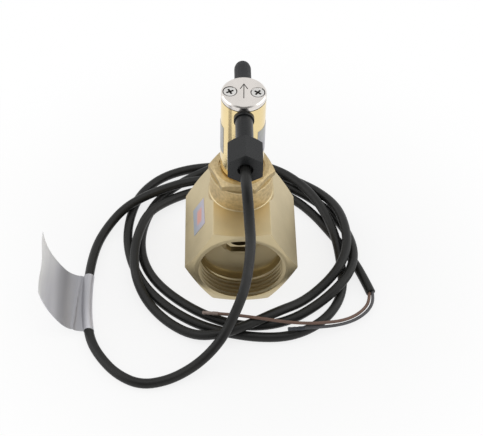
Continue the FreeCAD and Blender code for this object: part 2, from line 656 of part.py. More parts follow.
def make_adjuster_cap():
    """Rubber cap over the bush: a straight skirt, a bullet nose and a nub to pull it by."""
    start = TUBE_R + BUSH_FLANGE + FIT_GAP
    nose = BULLET_END - start
    skirt_end = Vector(CAP_SHELL_R, 0, BULLET_STRAIGHT)
    tip = Vector(NUB_R, 0, nose)
    bend_r, bend_along = BULLET_BEND
    bend = Vector(CAP_SHELL_R * bend_r, 0,
                  BULLET_STRAIGHT + (nose - BULLET_STRAIGHT) * bend_along)
    nub_top = nose + NUB_LENGTH
    edges = [Part.LineSegment(Vector(0, 0, 0), Vector(CAP_SHELL_R, 0, 0)),
             Part.LineSegment(Vector(CAP_SHELL_R, 0, 0), skirt_end),
             Part.Arc(skirt_end, bend, tip),
             Part.LineSegment(tip, Vector(NUB_R, 0, nub_top)),
             Part.LineSegment(Vector(NUB_R, 0, nub_top), Vector(0, 0, nub_top)),
             Part.LineSegment(Vector(0, 0, nub_top), Vector(0, 0, 0))]
    face = Part.Face(Part.Wire([edge.toShape() for edge in edges]))
    cap = face.revolve(Vector(0, 0, 0), Z, 360)
    cap.Placement = FreeCAD.Placement(at_head(y=start, z=PORTS_Z), FreeCAD.Rotation(Z, Y))
    inside = BUSH_OUTER_END + CAP_END_GAP - start
    return cap.cut(rod(BUSH_OUTER_R + FIT_GAP, at_head(y=start, z=PORTS_Z), Y, inside))


# ---------------------------------------------------------------- gland

def make_gland_body():
    """Spigot in the tube wall, collar, barrel and the threaded end under the nut."""
    spigot_from = TUBE_R - GLAND_SPIGOT
    parts = [rod(GLAND_SPIGOT_R, at_head(y=-spigot_from, z=PORTS_Z), -Y, GLAND_SPIGOT + 1),
             rod(GLAND_BARREL_R, at_head(y=-TUBE_R, z=PORTS_Z), -Y, GLAND_BARREL_END - TUBE_R),
             rod(GLAND_THREAD_R, at_head(y=-GLAND_BARREL_END, z=PORTS_Z), -Y,
                 GLAND_BODY_END - GLAND_BARREL_END)]
    collar = rod(GLAND_COLLAR_R, at_head(y=-TUBE_BORE_R, z=PORTS_Z), -Y,
                 TUBE_WALL + GLAND_COLLAR)
    parts.append(collar.cut(rod(TUBE_R, at_head(z=COLLAR_TOP), Z, CAP_TOP - COLLAR_TOP)))
    bore = rod(GLAND_BORE_R, at_head(z=PORTS_Z), -Y, GLAND_BODY_END)
    return fused(parts).cut(bore)


def make_gland_nut():
    """Hexagonal nut with a turned shoulder at the back and a round mouth for the cable."""
    corner = NUT_FLATS / math.sqrt(3) + NUT_CORNER
    outline = turned([(0, 0), (0, NUT_SHOULDER_R), (NUT_SHOULDER, corner),
                      (NUT_LENGTH - NUT_EDGE, corner), (NUT_LENGTH, corner - 2 * NUT_EDGE),
                      (NUT_LENGTH, 0)], at_head(y=-NUT_START, z=PORTS_Z), -Y)
    bar = hexagon(NUT_FLATS, at_head(y=-NUT_START, z=PORTS_Z), -Y, NUT_LENGTH, NUT_TURN_DEG)
    nut = bar.common(outline)
    back = GLAND_BARREL_END - NUT_START
    nut = nut.cut(rod(GLAND_BARREL_R, at_head(y=-NUT_START, z=PORTS_Z), -Y, back))
    nut = nut.cut(rod(GLAND_THREAD_R, at_head(y=-GLAND_BARREL_END, z=PORTS_Z), -Y,
                      NUT_LENGTH - NUT_LIP - back))
    return nut.cut(rod(NUT_MOUTH_R, at_head(y=-GLAND_BARREL_END, z=PORTS_Z), -Y, NUT_LENGTH))


def make_gland_seal():
    return pipe(GLAND_THREAD_R, CABLE_R, at_head(y=-GLAND_BODY_END, z=PORTS_Z), -Y, SEAL_LENGTH)


def make_cable_entry():
    """The straight stretch of cable inside the gland."""
    return rod(CABLE_R, at_head(y=-ENTRY_INNER_END, z=PORTS_Z), -Y, SEAL_END - ENTRY_INNER_END)


# ---------------------------------------------------------------- labels on the rigid parts

def make_head_foil():
    foil = Part.makeCylinder(TUBE_R + FOIL_THICKNESS, FOIL_HEIGHT, at_head(z=FOIL_BOTTOM), Z,
                             FOIL_SWEEP_DEG)
    foil.rotate(at_head(z=FOIL_BOTTOM), Z, FOIL_START_DEG)
    return foil.cut(rod(TUBE_R, at_head(z=FOIL_BOTTOM), Z, FOIL_HEIGHT))


def make_body_sticker():
    """Small sticker on the upper flat on the -X side."""
    sticker = block(-STICKER_WIDTH / 2, STICKER_WIDTH / 2, -STICKER_LENGTH / 2,
                    STICKER_LENGTH / 2, 0, FOIL_THICKNESS)
    sticker.rotate(Vector(0, 0, 0), Z, STICKER_TURN_DEG)
    sticker.rotate(Vector(0, 0, 0), Y, -60)
    corner_x = -BODY_FLATS / math.sqrt(3)
    slope = math.radians(60)
    sticker.translate(Vector(corner_x + STICKER_RISE * math.cos(slope), STICKER_Y,
                             AXIS_Z + STICKER_RISE * math.sin(slope)))
    return sticker


# ---------------------------------------------------------------- cable

# From the gland's seal down in front of the body, a wide loop through the flag on the -X side,
# then three rounds about the body and out to the stripped end
CABLE_ROUTE = [
    (0, HEAD_Y - SEAL_END, PORTS_Z), (0, HEAD_Y - SEAL_END - 6, PORTS_Z),
    (0.6, -44.5, PORTS_Z - 3), (1.3, -49, PORTS_Z - 9.5), (1.9, -50.3, PORTS_Z - 18),
    (2.5, -50, PORTS_Z - 25), (2.6, -48.5, PORTS_Z - 38), (2, -46.8, 47.5), (0.5, -46.4, 34), (-3, -49, 22.6), (-8.6, -55.6, 12.6),
    (-15.6, -61.8, 7), (-24, -67.6, 3.8), (-34.5, -73, 2.6), (-46.5, -75, 2.4),
    (-57.5, -69, 2.4), (-65.5, -59.4, 2.5), (-70.6, -49.6, 2.6), (-72.9, -36.5, 2.6),
    (-73.6, -20.5, 2.6), (-73, -5, 2.6), (-70.6, 9.5, 2.5), (-65.8, 20.5, 3.2),
    (-58.5, 29.3, 6.4), (-49.5, 36.1, 7.7), (-39.5, 41.8, 7.7), (-27.5, 48.2, 6.7),
    (-14, 53.4, 3.7), (1, 55.6, 2.4), (17, 53.2, 2.3),
    (31, 46.2, 2.3), (42.6, 36, 2.3), (50.2, 25, 2.7), (54.4, 12, 6), (55.9, -1, 7.9),
    (53.2, -12.5, 7.9), (46.5, -22, 7), (36.6, -29.8, 3.6), (24, -37.8, 2.3), (10, -41.6, 2.3),
    (-4, -40.6, 2.3), (-17.5, -34.8, 2.3), (-30, -26, 2.3), (-40.6, -15.2, 2.3),
    (-47, -3, 2.3), (-49.2, 10.5, 2.3), (-47.5, 24.5, 2.3), (-42.4, 37.5, 2.3),
    (-33.2, 48.8, 2.3), (-20.5, 57.2, 3.5), (-6, 61.6, 6.9), (9, 61.4, 7),
    (22.8, 55.4, 7), (32.5, 46, 7.2), (39.8, 34.6, 7.4), (44.8, 21.5, 7.4), (47.9, 8, 7.3),
    (49.5, -5.5, 3.8), (49.6, -18.5, 2.3), (45, -31, 2.3), (36, -41, 2.3), (23, -47.6, 2.3),
    (8, -48.2, 2.3), (-7, -45.4, 2.3), (-21.2, -40.2, 2.3), (-34.6, -30.8, 2.3),
    (-45.8, -18.4, 2.3), (-52.8, -3.4, 2.3), (-55.9, 12.5, 2.3), (-55, 28, 2.3),
    (-50.6, 43.5, 2.3), (-40.5, 55.2, 2.3), (-27, 61.6, 2.3), (-12, 63.8, 2.3), (3, 63.2, 2.3),
    (18, 59.6, 2.3),
    (32, 52.2, 2.3), (42.8, 42.2, 4.4), (49.6, 29, 8.2), (52.3, 15, 10.8), (52.4, 1, 11.6),
    (48.8, -10, 10.4), (41.5, -18.4, 6.4), (30, -27.4, 3), (17.5, -36, 6.8), (4, -44.2, 7.5),
    (-9, -49.4, 6.6), (-22, -47.6, 2.7), (-34.5, -39.6, 2.3), (-44.5, -28.2, 3.2),
    (-50.4, -15.6, 6.6), (-51.8, -1.5, 7.2), (-50.2, 12.4, 7.2), (-45.6, 26.6, 7.2),
    (-36.8, 36.6, 4.6), (-26, 44.4, 2.4), (-13, 48.6, 2.3), (1, 50, 2.3), (15, 47.6, 2.3),
    (28, 41, 2.3), (38, 30, 2.3), (46, 16.8, 2.3), (53.6, 3.8, 2.3), (59, -8.8, 2.3),
    (62.7, -21.1, 2.3)]
GREY_ROUTE = [
    (63.5, -20.87, 2.3), (63.6, -25.5, 2.6), (61.6, -31, 2.8), (57.4, -35.8, 2.9),
    (51.6, -39.6, 3.2), (45, -42.4, 4.2), (37.5, -44.4, 5.5), (29.5, -45.6, 6.3)]
BROWN_ROUTE = [
    (61.95, -21.32, 2.3), (61.6, -26.5, 2.7), (58.6, -32, 3.2), (53.6, -36.8, 4),
    (47.4, -40.4, 5.2), (40, -42.8, 6.9), (31.5, -44.8, 8.8), (22, -45.3, 10.2),
    (12, -43.9, 10.8), (2, -41.8, 10.3), (-4.6, -39.6, 8.8), (-10.6, -38, 7.4)]


def route_edges(name, route):
    """Straight runs joined by tangent arcs."""
    points = [Vector(*point) for point in route]
    edges = []
    radii = []
    start = points[0]
    for before, corner, after in zip(points, points[1:], points[2:]):
        back = before - corner
        ahead = after - corner
        reach = CORNER_SHARE * min(back.Length, ahead.Length)
        half_turn = (math.pi - back.getAngle(ahead)) / 2
        radius = reach / math.tan(half_turn)
        radii.append(radius)
        entry = corner + Vector(back).normalize() * reach
        leave = corner + Vector(ahead).normalize() * reach
        inward = (Vector(back).normalize() + Vector(ahead).normalize()).normalize()
        middle = corner + inward * (radius / math.cos(half_turn) - radius)
        edges.append(Part.LineSegment(start, entry).toShape())
        edges.append(Part.Arc(entry, middle, leave).toShape())
        start = leave
    edges.append(Part.LineSegment(start, points[-1]).toShape())
    print("%-18s radii %.1f to %.1f" % (name, min(radii), max(radii)))
    return edges


def swept(edges, radius):
    """A round cord along joined edges."""
    wire = Part.Wire(edges)
    start = edges[0].valueAt(edges[0].FirstParameter)
    ahead = edges[0].tangentAt(edges[0].FirstParameter)
    section = Part.Wire(Part.Circle(start, ahead, radius).toShape())
    return wire.makePipeShell([section], True, False)


def make_cord(name, route, radius):
    edges = route_edges(name, route)
    cord = swept(edges, radius)
    length = sum(edge.Length for edge in edges)
    expected = math.pi * radius ** 2 * length
    print("%-18s length %.1f, volume %.4f of section x length"
          % (name, length, cord.Volume / expected))
    return cord


def make_ferrule(route):
    """A sleeve crimped on the end of a core, in line with its last run."""
    end = Vector(*route[-1])
    ahead = (end - Vector(*route[-2])).normalize()
    return rod(FERRULE_R, end, ahead, FERRULE_LENGTH)


def make_cable_flag(cable):
    """A film wrapped round the cable whose ends, stuck together, curl up and outwards."""
    edges = route_edges("cable_flag", CABLE_ROUTE)
    first, last = FLAG_CORNERS
    wrap = swept(edges[2 * first:2 * last + 1], CABLE_R + FLAG_WRAP)
    height = CABLE_ROUTE[first][2]
    curl = math.radians(FLAG_CURL_DEG)
    sweep = math.radians(FLAG_SWEEP_DEG)
    outline = []
    for offset in (-FLAG_THICKNESS / 2, FLAG_THICKNESS / 2):
        inner = FLAG_CURL_R + offset
        outer = FLAG_SWEEP_R + offset
        centre = Vector(FLAG_ROOT_X, FLAG_FRONT, height + FLAG_CURL_R)
        knee = math.pi / 2 - curl
        far = centre + Vector(math.cos(knee), 0, math.sin(knee)) * (FLAG_SWEEP_R - FLAG_CURL_R)
        angles = [math.pi / 2, (math.pi / 2 + knee) / 2, knee]
        near_arc = [centre - Vector(math.cos(a), 0, math.sin(a)) * inner for a in angles]
        angles = [knee, knee - sweep / 2, knee - sweep]
        far_arc = [far - Vector(math.cos(a), 0, math.sin(a)) * outer for a in angles]
        outline.append((near_arc, far_arc))
    (near_in, far_in), (near_out, far_out) = outline
    film = Part.Wire([Part.Arc(*near_out).toShape(), Part.Arc(*far_out).toShape(),
                      Part.LineSegment(far_out[2], far_in[2]).toShape(),
                      Part.Arc(far_in[2], far_in[1], far_in[0]).toShape(),
                      Part.Arc(near_in[2], near_in[1], near_in[0]).toShape(),
                      Part.LineSegment(near_in[0], near_out[0]).toShape()])
    flag = Part.Face(film).extrude(Y * (FLAG_BACK - FLAG_FRONT))
    return wrap.fuse(flag).cut(cable)


# ---------------------------------------------------------------- export

def main():
    os.makedirs("parts", exist_ok=True)
    save("body", make_body())
    save("hex_adapter", make_hex_adapter())
    save("adapter_o_ring", make_adapter_o_ring())
    save("head_tube", make_head_tube())
    save("separator", make_separator())
    save("separator_o_ring", make_separator_o_ring())
    save("return_magnet", make_return_magnet())
    save("cap_gasket", make_cap_gasket())
    save("cap_plate", make_cap_plate())
    save("cap_screws", make_cap_screws())
    save("paddle_lever", make_paddle_lever())
    save("paddle_blade", make_paddle_blade())
    save("blade_screws", make_blade_screws())
    save("pivot_pin", make_pivot_pin())
    save("pivot_bushes", make_pivot_bushes())
    save("magnet_holder", make_magnet_holder())
    save("lever_magnet", make_lever_magnet())
    save("contact_block", make_contact_block())
    save("terminal_board", make_terminal_board())
    save("reed_carrier", make_reed_carrier())
    save("reed_glass", make_reed_glass())
    save("reed_contacts", make_reed_contacts())
    save("lead_wires", make_lead_wires())
    save("adjuster_bush", make_adjuster_bush())
    save("adjusting_screw", make_adjusting_screw())
    save("screw_clip", make_screw_clip())
    save("adjuster_cap", make_adjuster_cap())
    save("gland_body", make_gland_body())
    save("gland_nut", make_gland_nut())
    save("gland_seal", make_gland_seal())
    save("cable_entry", make_cable_entry())
    save("head_foil", make_head_foil())
    save("body_sticker", make_body_sticker())
    cable = make_cord("cable", CABLE_ROUTE, CABLE_R)
    save("cable", cable)
    save("cable_flag", make_cable_flag(cable))
    save("grey_core", make_cord("grey_core", GREY_ROUTE, CORE_R))
    save("brown_core", make_cord("brown_core", BROWN_ROUTE, CORE_R))
    save("grey_ferrule", make_ferrule(GREY_ROUTE))
    save("brown_ferrule", make_ferrule(BROWN_ROUTE))


main()
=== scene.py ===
"""Visible pieces, finishes and studio of a paddle flow switch.

Metres. +Z is up and +Y is the direction of flow. The switch stands on z = 0.
"""

import json
import math

import bmesh
import bpy
from bpy.props import FloatProperty, FloatVectorProperty, PointerProperty
from bpy.types import Operator, Panel, PropertyGroup
from mathutils import Matrix, Vector

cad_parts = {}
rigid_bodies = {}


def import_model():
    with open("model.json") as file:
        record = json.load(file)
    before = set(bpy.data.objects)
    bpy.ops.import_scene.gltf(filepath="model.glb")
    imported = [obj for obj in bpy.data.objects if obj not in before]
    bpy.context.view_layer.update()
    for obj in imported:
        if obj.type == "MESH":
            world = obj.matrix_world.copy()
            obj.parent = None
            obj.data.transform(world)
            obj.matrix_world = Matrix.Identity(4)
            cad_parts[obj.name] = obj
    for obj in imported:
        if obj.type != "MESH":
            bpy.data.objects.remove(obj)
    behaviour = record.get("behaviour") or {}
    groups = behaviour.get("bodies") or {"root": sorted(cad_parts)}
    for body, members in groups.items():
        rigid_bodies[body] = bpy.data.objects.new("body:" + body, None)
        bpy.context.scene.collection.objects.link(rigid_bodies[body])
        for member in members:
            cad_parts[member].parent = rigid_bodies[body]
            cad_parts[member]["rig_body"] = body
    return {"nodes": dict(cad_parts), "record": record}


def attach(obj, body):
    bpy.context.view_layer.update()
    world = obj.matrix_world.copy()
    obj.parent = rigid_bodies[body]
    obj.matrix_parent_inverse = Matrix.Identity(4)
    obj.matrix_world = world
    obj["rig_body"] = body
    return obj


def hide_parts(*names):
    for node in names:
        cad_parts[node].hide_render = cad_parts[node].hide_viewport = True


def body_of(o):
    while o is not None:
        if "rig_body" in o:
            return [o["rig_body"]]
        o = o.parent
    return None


bl_info = {
    "name": "Paddle Flow Switch",
    "version": (1, 0, 0),
    "blender": (4, 5, 0),
    "location": "3D View > Sidebar > Flow Switch",
    "description": "Builds the pieces, finishes and studio of a paddle flow switch",
    "category": "Add Mesh",
}

MM = 0.001
FLOW = (0, 1, 0)
UP = (0, 0, 1)
BODY_FLATS = 46 * MM
BODY_LENGTH = 48.5 * MM
AXIS_Z = BODY_FLATS / 2             # middle of the ports
HEAD_Y = 6.5 * MM                   # the head stands behind the web
CAP_TOP = 107 * MM
PORTS_Z = 100 * MM                  # gland and adjusting screw
SHARP = math.radians(25)            # edges that turn by more are softened
FLAT = math.radians(0.4)            # edges that turn by less are seams in one face
NOISE_LOW, NOISE_HIGH = 0.35, 0.65  # most of the noise lies between
EVEN = (1.0, 1.0, 1.0)
WHITE = (1.0, 1.0, 1.0, 1.0)

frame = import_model()
NODES = frame["nodes"]
SLOTS = {part["node"]: part["material_slot"] for part in frame["record"]["subparts"]}
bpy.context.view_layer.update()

# Routes of the cable and of its two cores, in millimetres
CABLE_ROUTE = [
    (0, -32.1, 100), (0, -38.1, 100), (0.6, -44.5, 97), (1.3, -49, 90.5), (1.9, -50.3, 82),
    (2.5, -50, 75), (2.6, -48.5, 62), (2, -46.8, 47.5), (0.5, -46.4, 34), (-3, -49, 22.6),
    (-8.6, -55.6, 12.6), (-15.6, -61.8, 7), (-24, -67.6, 3.8), (-34.5, -73, 2.6),
    (-46.5, -75, 2.4), (-57.5, -69, 2.4), (-65.5, -59.4, 2.5), (-70.6, -49.6, 2.6),
    (-72.9, -36.5, 2.6), (-73.6, -20.5, 2.6), (-73, -5, 2.6), (-70.6, 9.5, 2.5),
    (-65.8, 20.5, 3.2), (-58.5, 29.3, 6.4), (-49.5, 36.1, 7.7), (-39.5, 41.8, 7.7),
    (-27.5, 48.2, 6.7), (-14, 53.4, 3.7), (1, 55.6, 2.4), (17, 53.2, 2.3),
    (31, 46.2, 2.3), (42.6, 36, 2.3), (50.2, 25, 2.7), (54.4, 12, 6), (55.9, -1, 7.9),
    (53.2, -12.5, 7.9), (46.5, -22, 7), (36.6, -29.8, 3.6), (24, -37.8, 2.3), (10, -41.6, 2.3),
    (-4, -40.6, 2.3), (-17.5, -34.8, 2.3), (-30, -26, 2.3), (-40.6, -15.2, 2.3),
    (-47, -3, 2.3), (-49.2, 10.5, 2.3), (-47.5, 24.5, 2.3), (-42.4, 37.5, 2.3),
    (-33.2, 48.8, 2.3), (-20.5, 57.2, 3.5), (-6, 61.6, 6.9), (9, 61.4, 7),
    (22.8, 55.4, 7), (32.5, 46, 7.2), (39.8, 34.6, 7.4), (44.8, 21.5, 7.4), (47.9, 8, 7.3),
    (49.5, -5.5, 3.8), (49.6, -18.5, 2.3), (45, -31, 2.3), (36, -41, 2.3), (23, -47.6, 2.3),
    (8, -48.2, 2.3), (-7, -45.4, 2.3), (-21.2, -40.2, 2.3), (-34.6, -30.8, 2.3),
    (-45.8, -18.4, 2.3), (-52.8, -3.4, 2.3), (-55.9, 12.5, 2.3), (-55, 28, 2.3),
    (-50.6, 43.5, 2.3), (-40.5, 55.2, 2.3), (-27, 61.6, 2.3), (-12, 63.8, 2.3), (3, 63.2, 2.3),
    (18, 59.6, 2.3), (32, 52.2, 2.3), (42.8, 42.2, 4.4), (49.6, 29, 8.2), (52.3, 15, 10.8),
    (52.4, 1, 11.6),
    (48.8, -10, 10.4), (41.5, -18.4, 6.4), (30, -27.4, 3), (17.5, -36, 6.8), (4, -44.2, 7.5),
    (-9, -49.4, 6.6), (-22, -47.6, 2.7), (-34.5, -39.6, 2.3), (-44.5, -28.2, 3.2),
    (-50.4, -15.6, 6.6), (-51.8, -1.5, 7.2), (-50.2, 12.4, 7.2), (-45.6, 26.6, 7.2),
    (-36.8, 36.6, 4.6), (-26, 44.4, 2.4), (-13, 48.6, 2.3), (1, 50, 2.3), (15, 47.6, 2.3),
    (28, 41, 2.3), (38, 30, 2.3), (46, 16.8, 2.3), (53.6, 3.8, 2.3), (59, -8.8, 2.3),
    (62.7, -21.1, 2.3)]
GREY_ROUTE = [
    (63.5, -20.87, 2.3), (63.6, -25.5, 2.6), (61.6, -31, 2.8), (57.4, -35.8, 2.9),
    (51.6, -39.6, 3.2), (45, -42.4, 4.2), (37.5, -44.4, 5.5), (29.5, -45.6, 6.3)]
BROWN_ROUTE = [
    (61.95, -21.32, 2.3), (61.6, -26.5, 2.7), (58.6, -32, 3.2), (53.6, -36.8, 4),
    (47.4, -40.4, 5.2), (40, -42.8, 6.9), (31.5, -44.8, 8.8), (22, -45.3, 10.2),
    (12, -43.9, 10.8), (2, -41.8, 10.3), (-4.6, -39.6, 8.8), (-10.6, -38, 7.4)]


# ---- sizes and colours

def length(name, description, default):
    return FloatProperty(name=name, description=description, default=default, min=0.0,
                         precision=5, unit="LENGTH")


def colour(name, description, default):
    return FloatVectorProperty(name=name, description=description, default=default, size=3,
                               min=0.0, max=1.0, subtype="COLOR")


def fraction(name, description, default):
    return FloatProperty(name=name, description=description, default=default, min=0.0,
                         max=1.0, subtype="FACTOR")


def angle(name, description, degrees):
    return FloatProperty(name=name, description=description, default=math.radians(degrees),
                         subtype="ANGLE", unit="ROTATION")


def power(name, description, default):
    return FloatProperty(name=name, description=description, default=default, min=0.0,
                         unit="POWER")


class FlowSwitchBodySizes(PropertyGroup):
    edge_break: length("Edge break", "Softened edge of the cast body", 0.35 * MM)
    machined_break: length("Machined break", "Softened edge of the turned pieces", 0.15 * MM)
    thread_pitch: length("Thread pitch", "From crest to crest of the pipe thread", 2.309 * MM)
    thread_crest: length("Thread crest radius", "Minor radius of the pipe thread", 19.475 * MM)
    thread_root: length("Thread root radius", "Major radius of the pipe thread", 20.9 * MM)
    thread_reach: length("Thread reach", "How far the thread runs into each port", 10.6 * MM)


class FlowSwitchCableSizes(PropertyGroup):
    cable: length("Cable diameter", "Outside diameter of the jacket", 4.6 * MM)
    core: length("Core diameter", "Outside diameter of each core", 1.5 * MM)
    ferrule: length("Ferrule diameter", "Outside diameter of each core's end sleeve", 1.9 * MM)
    ferrule_length: length("Ferrule length", "Length of each end sleeve", 8 * MM)
    flag_wrap: length("Flag wrap", "Film round the cable", 0.25 * MM)
    flag_film: length("Flag film", "Thickness of the two films stuck together", 0.3 * MM)


class FlowSwitchColours(PropertyGroup):
    body_brass: colour("Body brass", "Machined brass of the body", (0.56, 0.47, 0.29))
    cast_brass: colour("Cast brass", "Rough brass of the collar", (0.53, 0.42, 0.24))
    tube_brass: colour("Tube brass", "Polished head tube", (0.88, 0.71, 0.38))
    nickel: colour("Nickel", "Plated cap", (0.80, 0.76, 0.72))
    steel: colour("Steel", "Screws, pin and lever", (0.66, 0.65, 0.63))
    # Painted shade: the steel blade darkened to the shade inside the body behind the window
    blade_steel_painted_shade: colour("Blade steel painted shade", "Blade in the flow", (0.19, 0.165, 0.125))
    # Painted shade: a dark tone for the engraved arrow, the screw seats and the cross recesses
    recess_painted_shade: colour("Recess painted shade", "Arrow and screw recesses", (0.06, 0.055, 0.05))
    plastic: colour("Black plastic", "Gland and carriage", (0.012, 0.013, 0.014))
    rubber: colour("Black rubber", "Adjuster cap and seals", (0.028, 0.029, 0.031))
    jacket: colour("Cable jacket", "Black sheath", (0.012, 0.012, 0.011))
    grey_core: colour("Grey core", "Sleeve of the grey core", (0.10, 0.10, 0.105))
    brown_core: colour("Brown core", "Sleeve of the brown core", (0.17, 0.105, 0.08))
    grey_ferrule: colour("Grey ferrule", "End sleeve of the grey core", (0.045, 0.05, 0.06))
    brown_ferrule: colour("Brown ferrule", "End sleeve of the brown core", (0.28, 0.22, 0.19))
    film: colour("Silver film", "Flag, foil and sticker", (0.60, 0.60, 0.635))
    sticker_patch: colour("Sticker patch", "Plain patch on the sticker", (0.70, 0.36, 0.30))
    block: colour("Block plastic", "Block in the head", (0.70, 0.66, 0.56))
    board: colour("Board", "Terminal board", (0.04, 0.16, 0.07))
    gasket: colour("Gasket", "Joint under the cap", (0.04, 0.04, 0.038))


class FlowSwitchStage(PropertyGroup):
    camera_place: FloatVectorProperty(
        name="Camera place", description="Where the camera stands", size=3, subtype="XYZ",
        unit="LENGTH", default=(-0.0164, -0.4154, 0.4900))
    camera_tilt: angle("Camera tilt", "Turn of the camera up from straight down", 42.23)
    lens: FloatProperty(name="Lens", description="Focal length in millimetres", default=97.04,
                        min=1.0, unit="CAMERA")
    shift: FloatProperty(name="Shift", description="Sideways shift of the frame", default=0.073,
                         min=-1.0, max=1.0, subtype="FACTOR")
    floor: colour("Floor", "Plain pale floor", (0.93, 0.93, 0.93))
    floor_glow: fraction("Floor glow", "Share of plain white in the floor", 0.8)
    fade_from: length("Fade from", "Where the floor starts to fade", 50 * MM)
    fade_to: length("Fade to", "Where the floor is white", 180 * MM)
    daylight: fraction("Daylight", "Strength of the even light", 0.5)
    tent: fraction("Tent", "How bright the white tent is in metal", 0.88)
    opening: angle("Opening", "From the middle of the dark opening to its edge", 43)
    opening_tone: fraction("Opening tone", "How bright the opening is in metal", 0.18)
    overhead_power: power("Overhead power", "Power of the light above", 2.0)
    side_power: power("Side power", "Power of the light on each side", 2.2)


class FlowSwitchSettings(PropertyGroup):
    body: PointerProperty(type=FlowSwitchBodySizes)
    cable: PointerProperty(type=FlowSwitchCableSizes)
    colours: PointerProperty(type=FlowSwitchColours)
    stage: PointerProperty(type=FlowSwitchStage)


def settings():
    return bpy.context.scene.flow_switch


# ---- materials

def feed(material, node, *values, **sockets):
    """Joins a node's sockets to other nodes' outputs, or gives them plain values."""
    pairs = list(zip(node.inputs, values))
    pairs += [(node.inputs[name.replace("_", " ")], value) for name, value in sockets.items()]
    for socket, value in pairs:
        if isinstance(value, bpy.types.NodeSocket):
            material.node_tree.links.new(value, socket)
        else:
            socket.default_value = value


def add_node(material, kind, *values, options=None, **sockets):
    """A new node, with its options and what its sockets get."""
    node = material.node_tree.nodes.new("ShaderNode" + kind)
    for name, value in (options or {}).items():
        setattr(node, name, value)
    feed(material, node, *values, **sockets)
    return node


def compute(material, operation, *values, kind="Math"):
    """What a math node makes of numbers or of other nodes' outputs."""
    return add_node(material, kind, *values, options={"operation": operation}).outputs["Value"]


def feed_shader(material, **sockets):
    feed(material, material.node_tree.nodes["Principled BSDF"], **sockets)


def new_material(name, tone, roughness, metallic=0.0):
    """A material of one plain tone."""
    material = bpy.data.materials.new("flow_switch_" + name)
    material.use_nodes = True
    feed_shader(material, Base_Color=(*tone, 1.0), Roughness=roughness, Metallic=metallic)
    return material


def own_place(material):
    return add_node(material, "TexCoord").outputs["Object"]


def coordinate(material, axis):
    return add_node(material, "SeparateXYZ", Vector=own_place(material)).outputs[axis]


def grain(material, scale, detail=3.0, stretch=EVEN):
    """Noise in the piece's own space, finer with a larger scale; returns its value."""
    mapping = add_node(material, "Mapping", Vector=own_place(material), Scale=stretch)
    noise = add_node(material, "TexNoise", Vector=mapping.outputs["Vector"], Scale=scale,
                     Detail=detail)
    return noise.outputs["Fac"]


def spread(material, value, low, high, start=NOISE_LOW, end=NOISE_HIGH, kind="LINEAR"):
    """The value stretched from its usual range, start to end, onto low to high."""
    node = add_node(material, "MapRange", options={"interpolation_type": kind}, Value=value,
                    From_Min=start, From_Max=end, To_Min=low, To_Max=high)
    return node.outputs["Result"]


def vary_tone(material, value, stops):
    """The tone runs through the (position, shade) stops as the value does."""
    ramp = add_node(material, "ValToRGB", Fac=value)
    elements = ramp.color_ramp.elements
    elements[0].position = stops[0][0]
    elements[1].position = stops[-1][0]
    for position, _ in stops[1:-1]:
        elements.new(position)
    for element, (_, tone) in zip(elements, stops):
        element.color = (*tone, 1.0)
    feed_shader(material, Base_Color=ramp.outputs["Color"])


def raise_surface(material, value, height, strength=1.0):
    """Fine relief of that height, in metres."""
    bump = add_node(material, "Bump", Strength=strength, Distance=height, Height=value)
    feed_shader(material, Normal=bump.outputs["Normal"])


def shade(tone, factor):
    return tuple(min(1.0, part * factor) for part in tone)


def add_skin(material, tone, contrast, tone_scale, roughness, gloss, fine, relief):
    """Slow changes of tone, uneven gloss and a fine relief."""
    vary_tone(material, grain(material, tone_scale),
              [(NOISE_LOW, shade(tone, 1 - contrast)), (NOISE_HIGH, shade(tone, 1 + contrast))])
    feed_shader(material, Roughness=spread(material, fine, roughness * (1 - gloss),
                                           roughness * (1 + gloss)))
    raise_surface(material, fine, relief)


def metal(name, tone, roughness, tone_scale, relief_scale, relief, contrast=0.1, stretch=EVEN):
    material = new_material(name, tone, roughness, 1.0)
    fine = grain(material, relief_scale, 4.0, stretch)
    add_skin(material, tone, contrast, tone_scale, roughness, 0.15, fine, relief)


def moulded(name, tone, roughness, relief_scale=1800.0, relief=0.02 * MM, contrast=0.12):
    """Plastic, rubber or lacquer."""
    material = new_material(name, tone, roughness)
    feed_shader(material, Specular_IOR_Level=0.3)
    fine = grain(material, relief_scale)
    add_skin(material, tone, contrast, 120.0, roughness, 0.12, fine, relief)


def add_glass():
    material = new_material("glass", (0.86, 0.93, 0.90), 0.03)
    feed_shader(material, Transmission_Weight=1.0, IOR=1.5)
    raise_surface(material, grain(material, 300.0), 0.01 * MM, 0.3)


def add_foil(tones):
    """Crinkled silver foil with a faint change of hue."""
    material = new_material("foil", tones.film, 0.3, 0.7)
    lilac, plain, green = (0.26, 0.23, 0.31), shade(tones.film, 0.65), (0.46, 0.48, 0.36)
    vary_tone(material, grain(material, 55.0, 1.0, (1.0, 1.0, 0.4)),
              [(NOISE_LOW, lilac), (0.5, plain), (NOISE_HIGH, green)])
    raise_surface(material, grain(material, 420.0), 0.35 * MM)


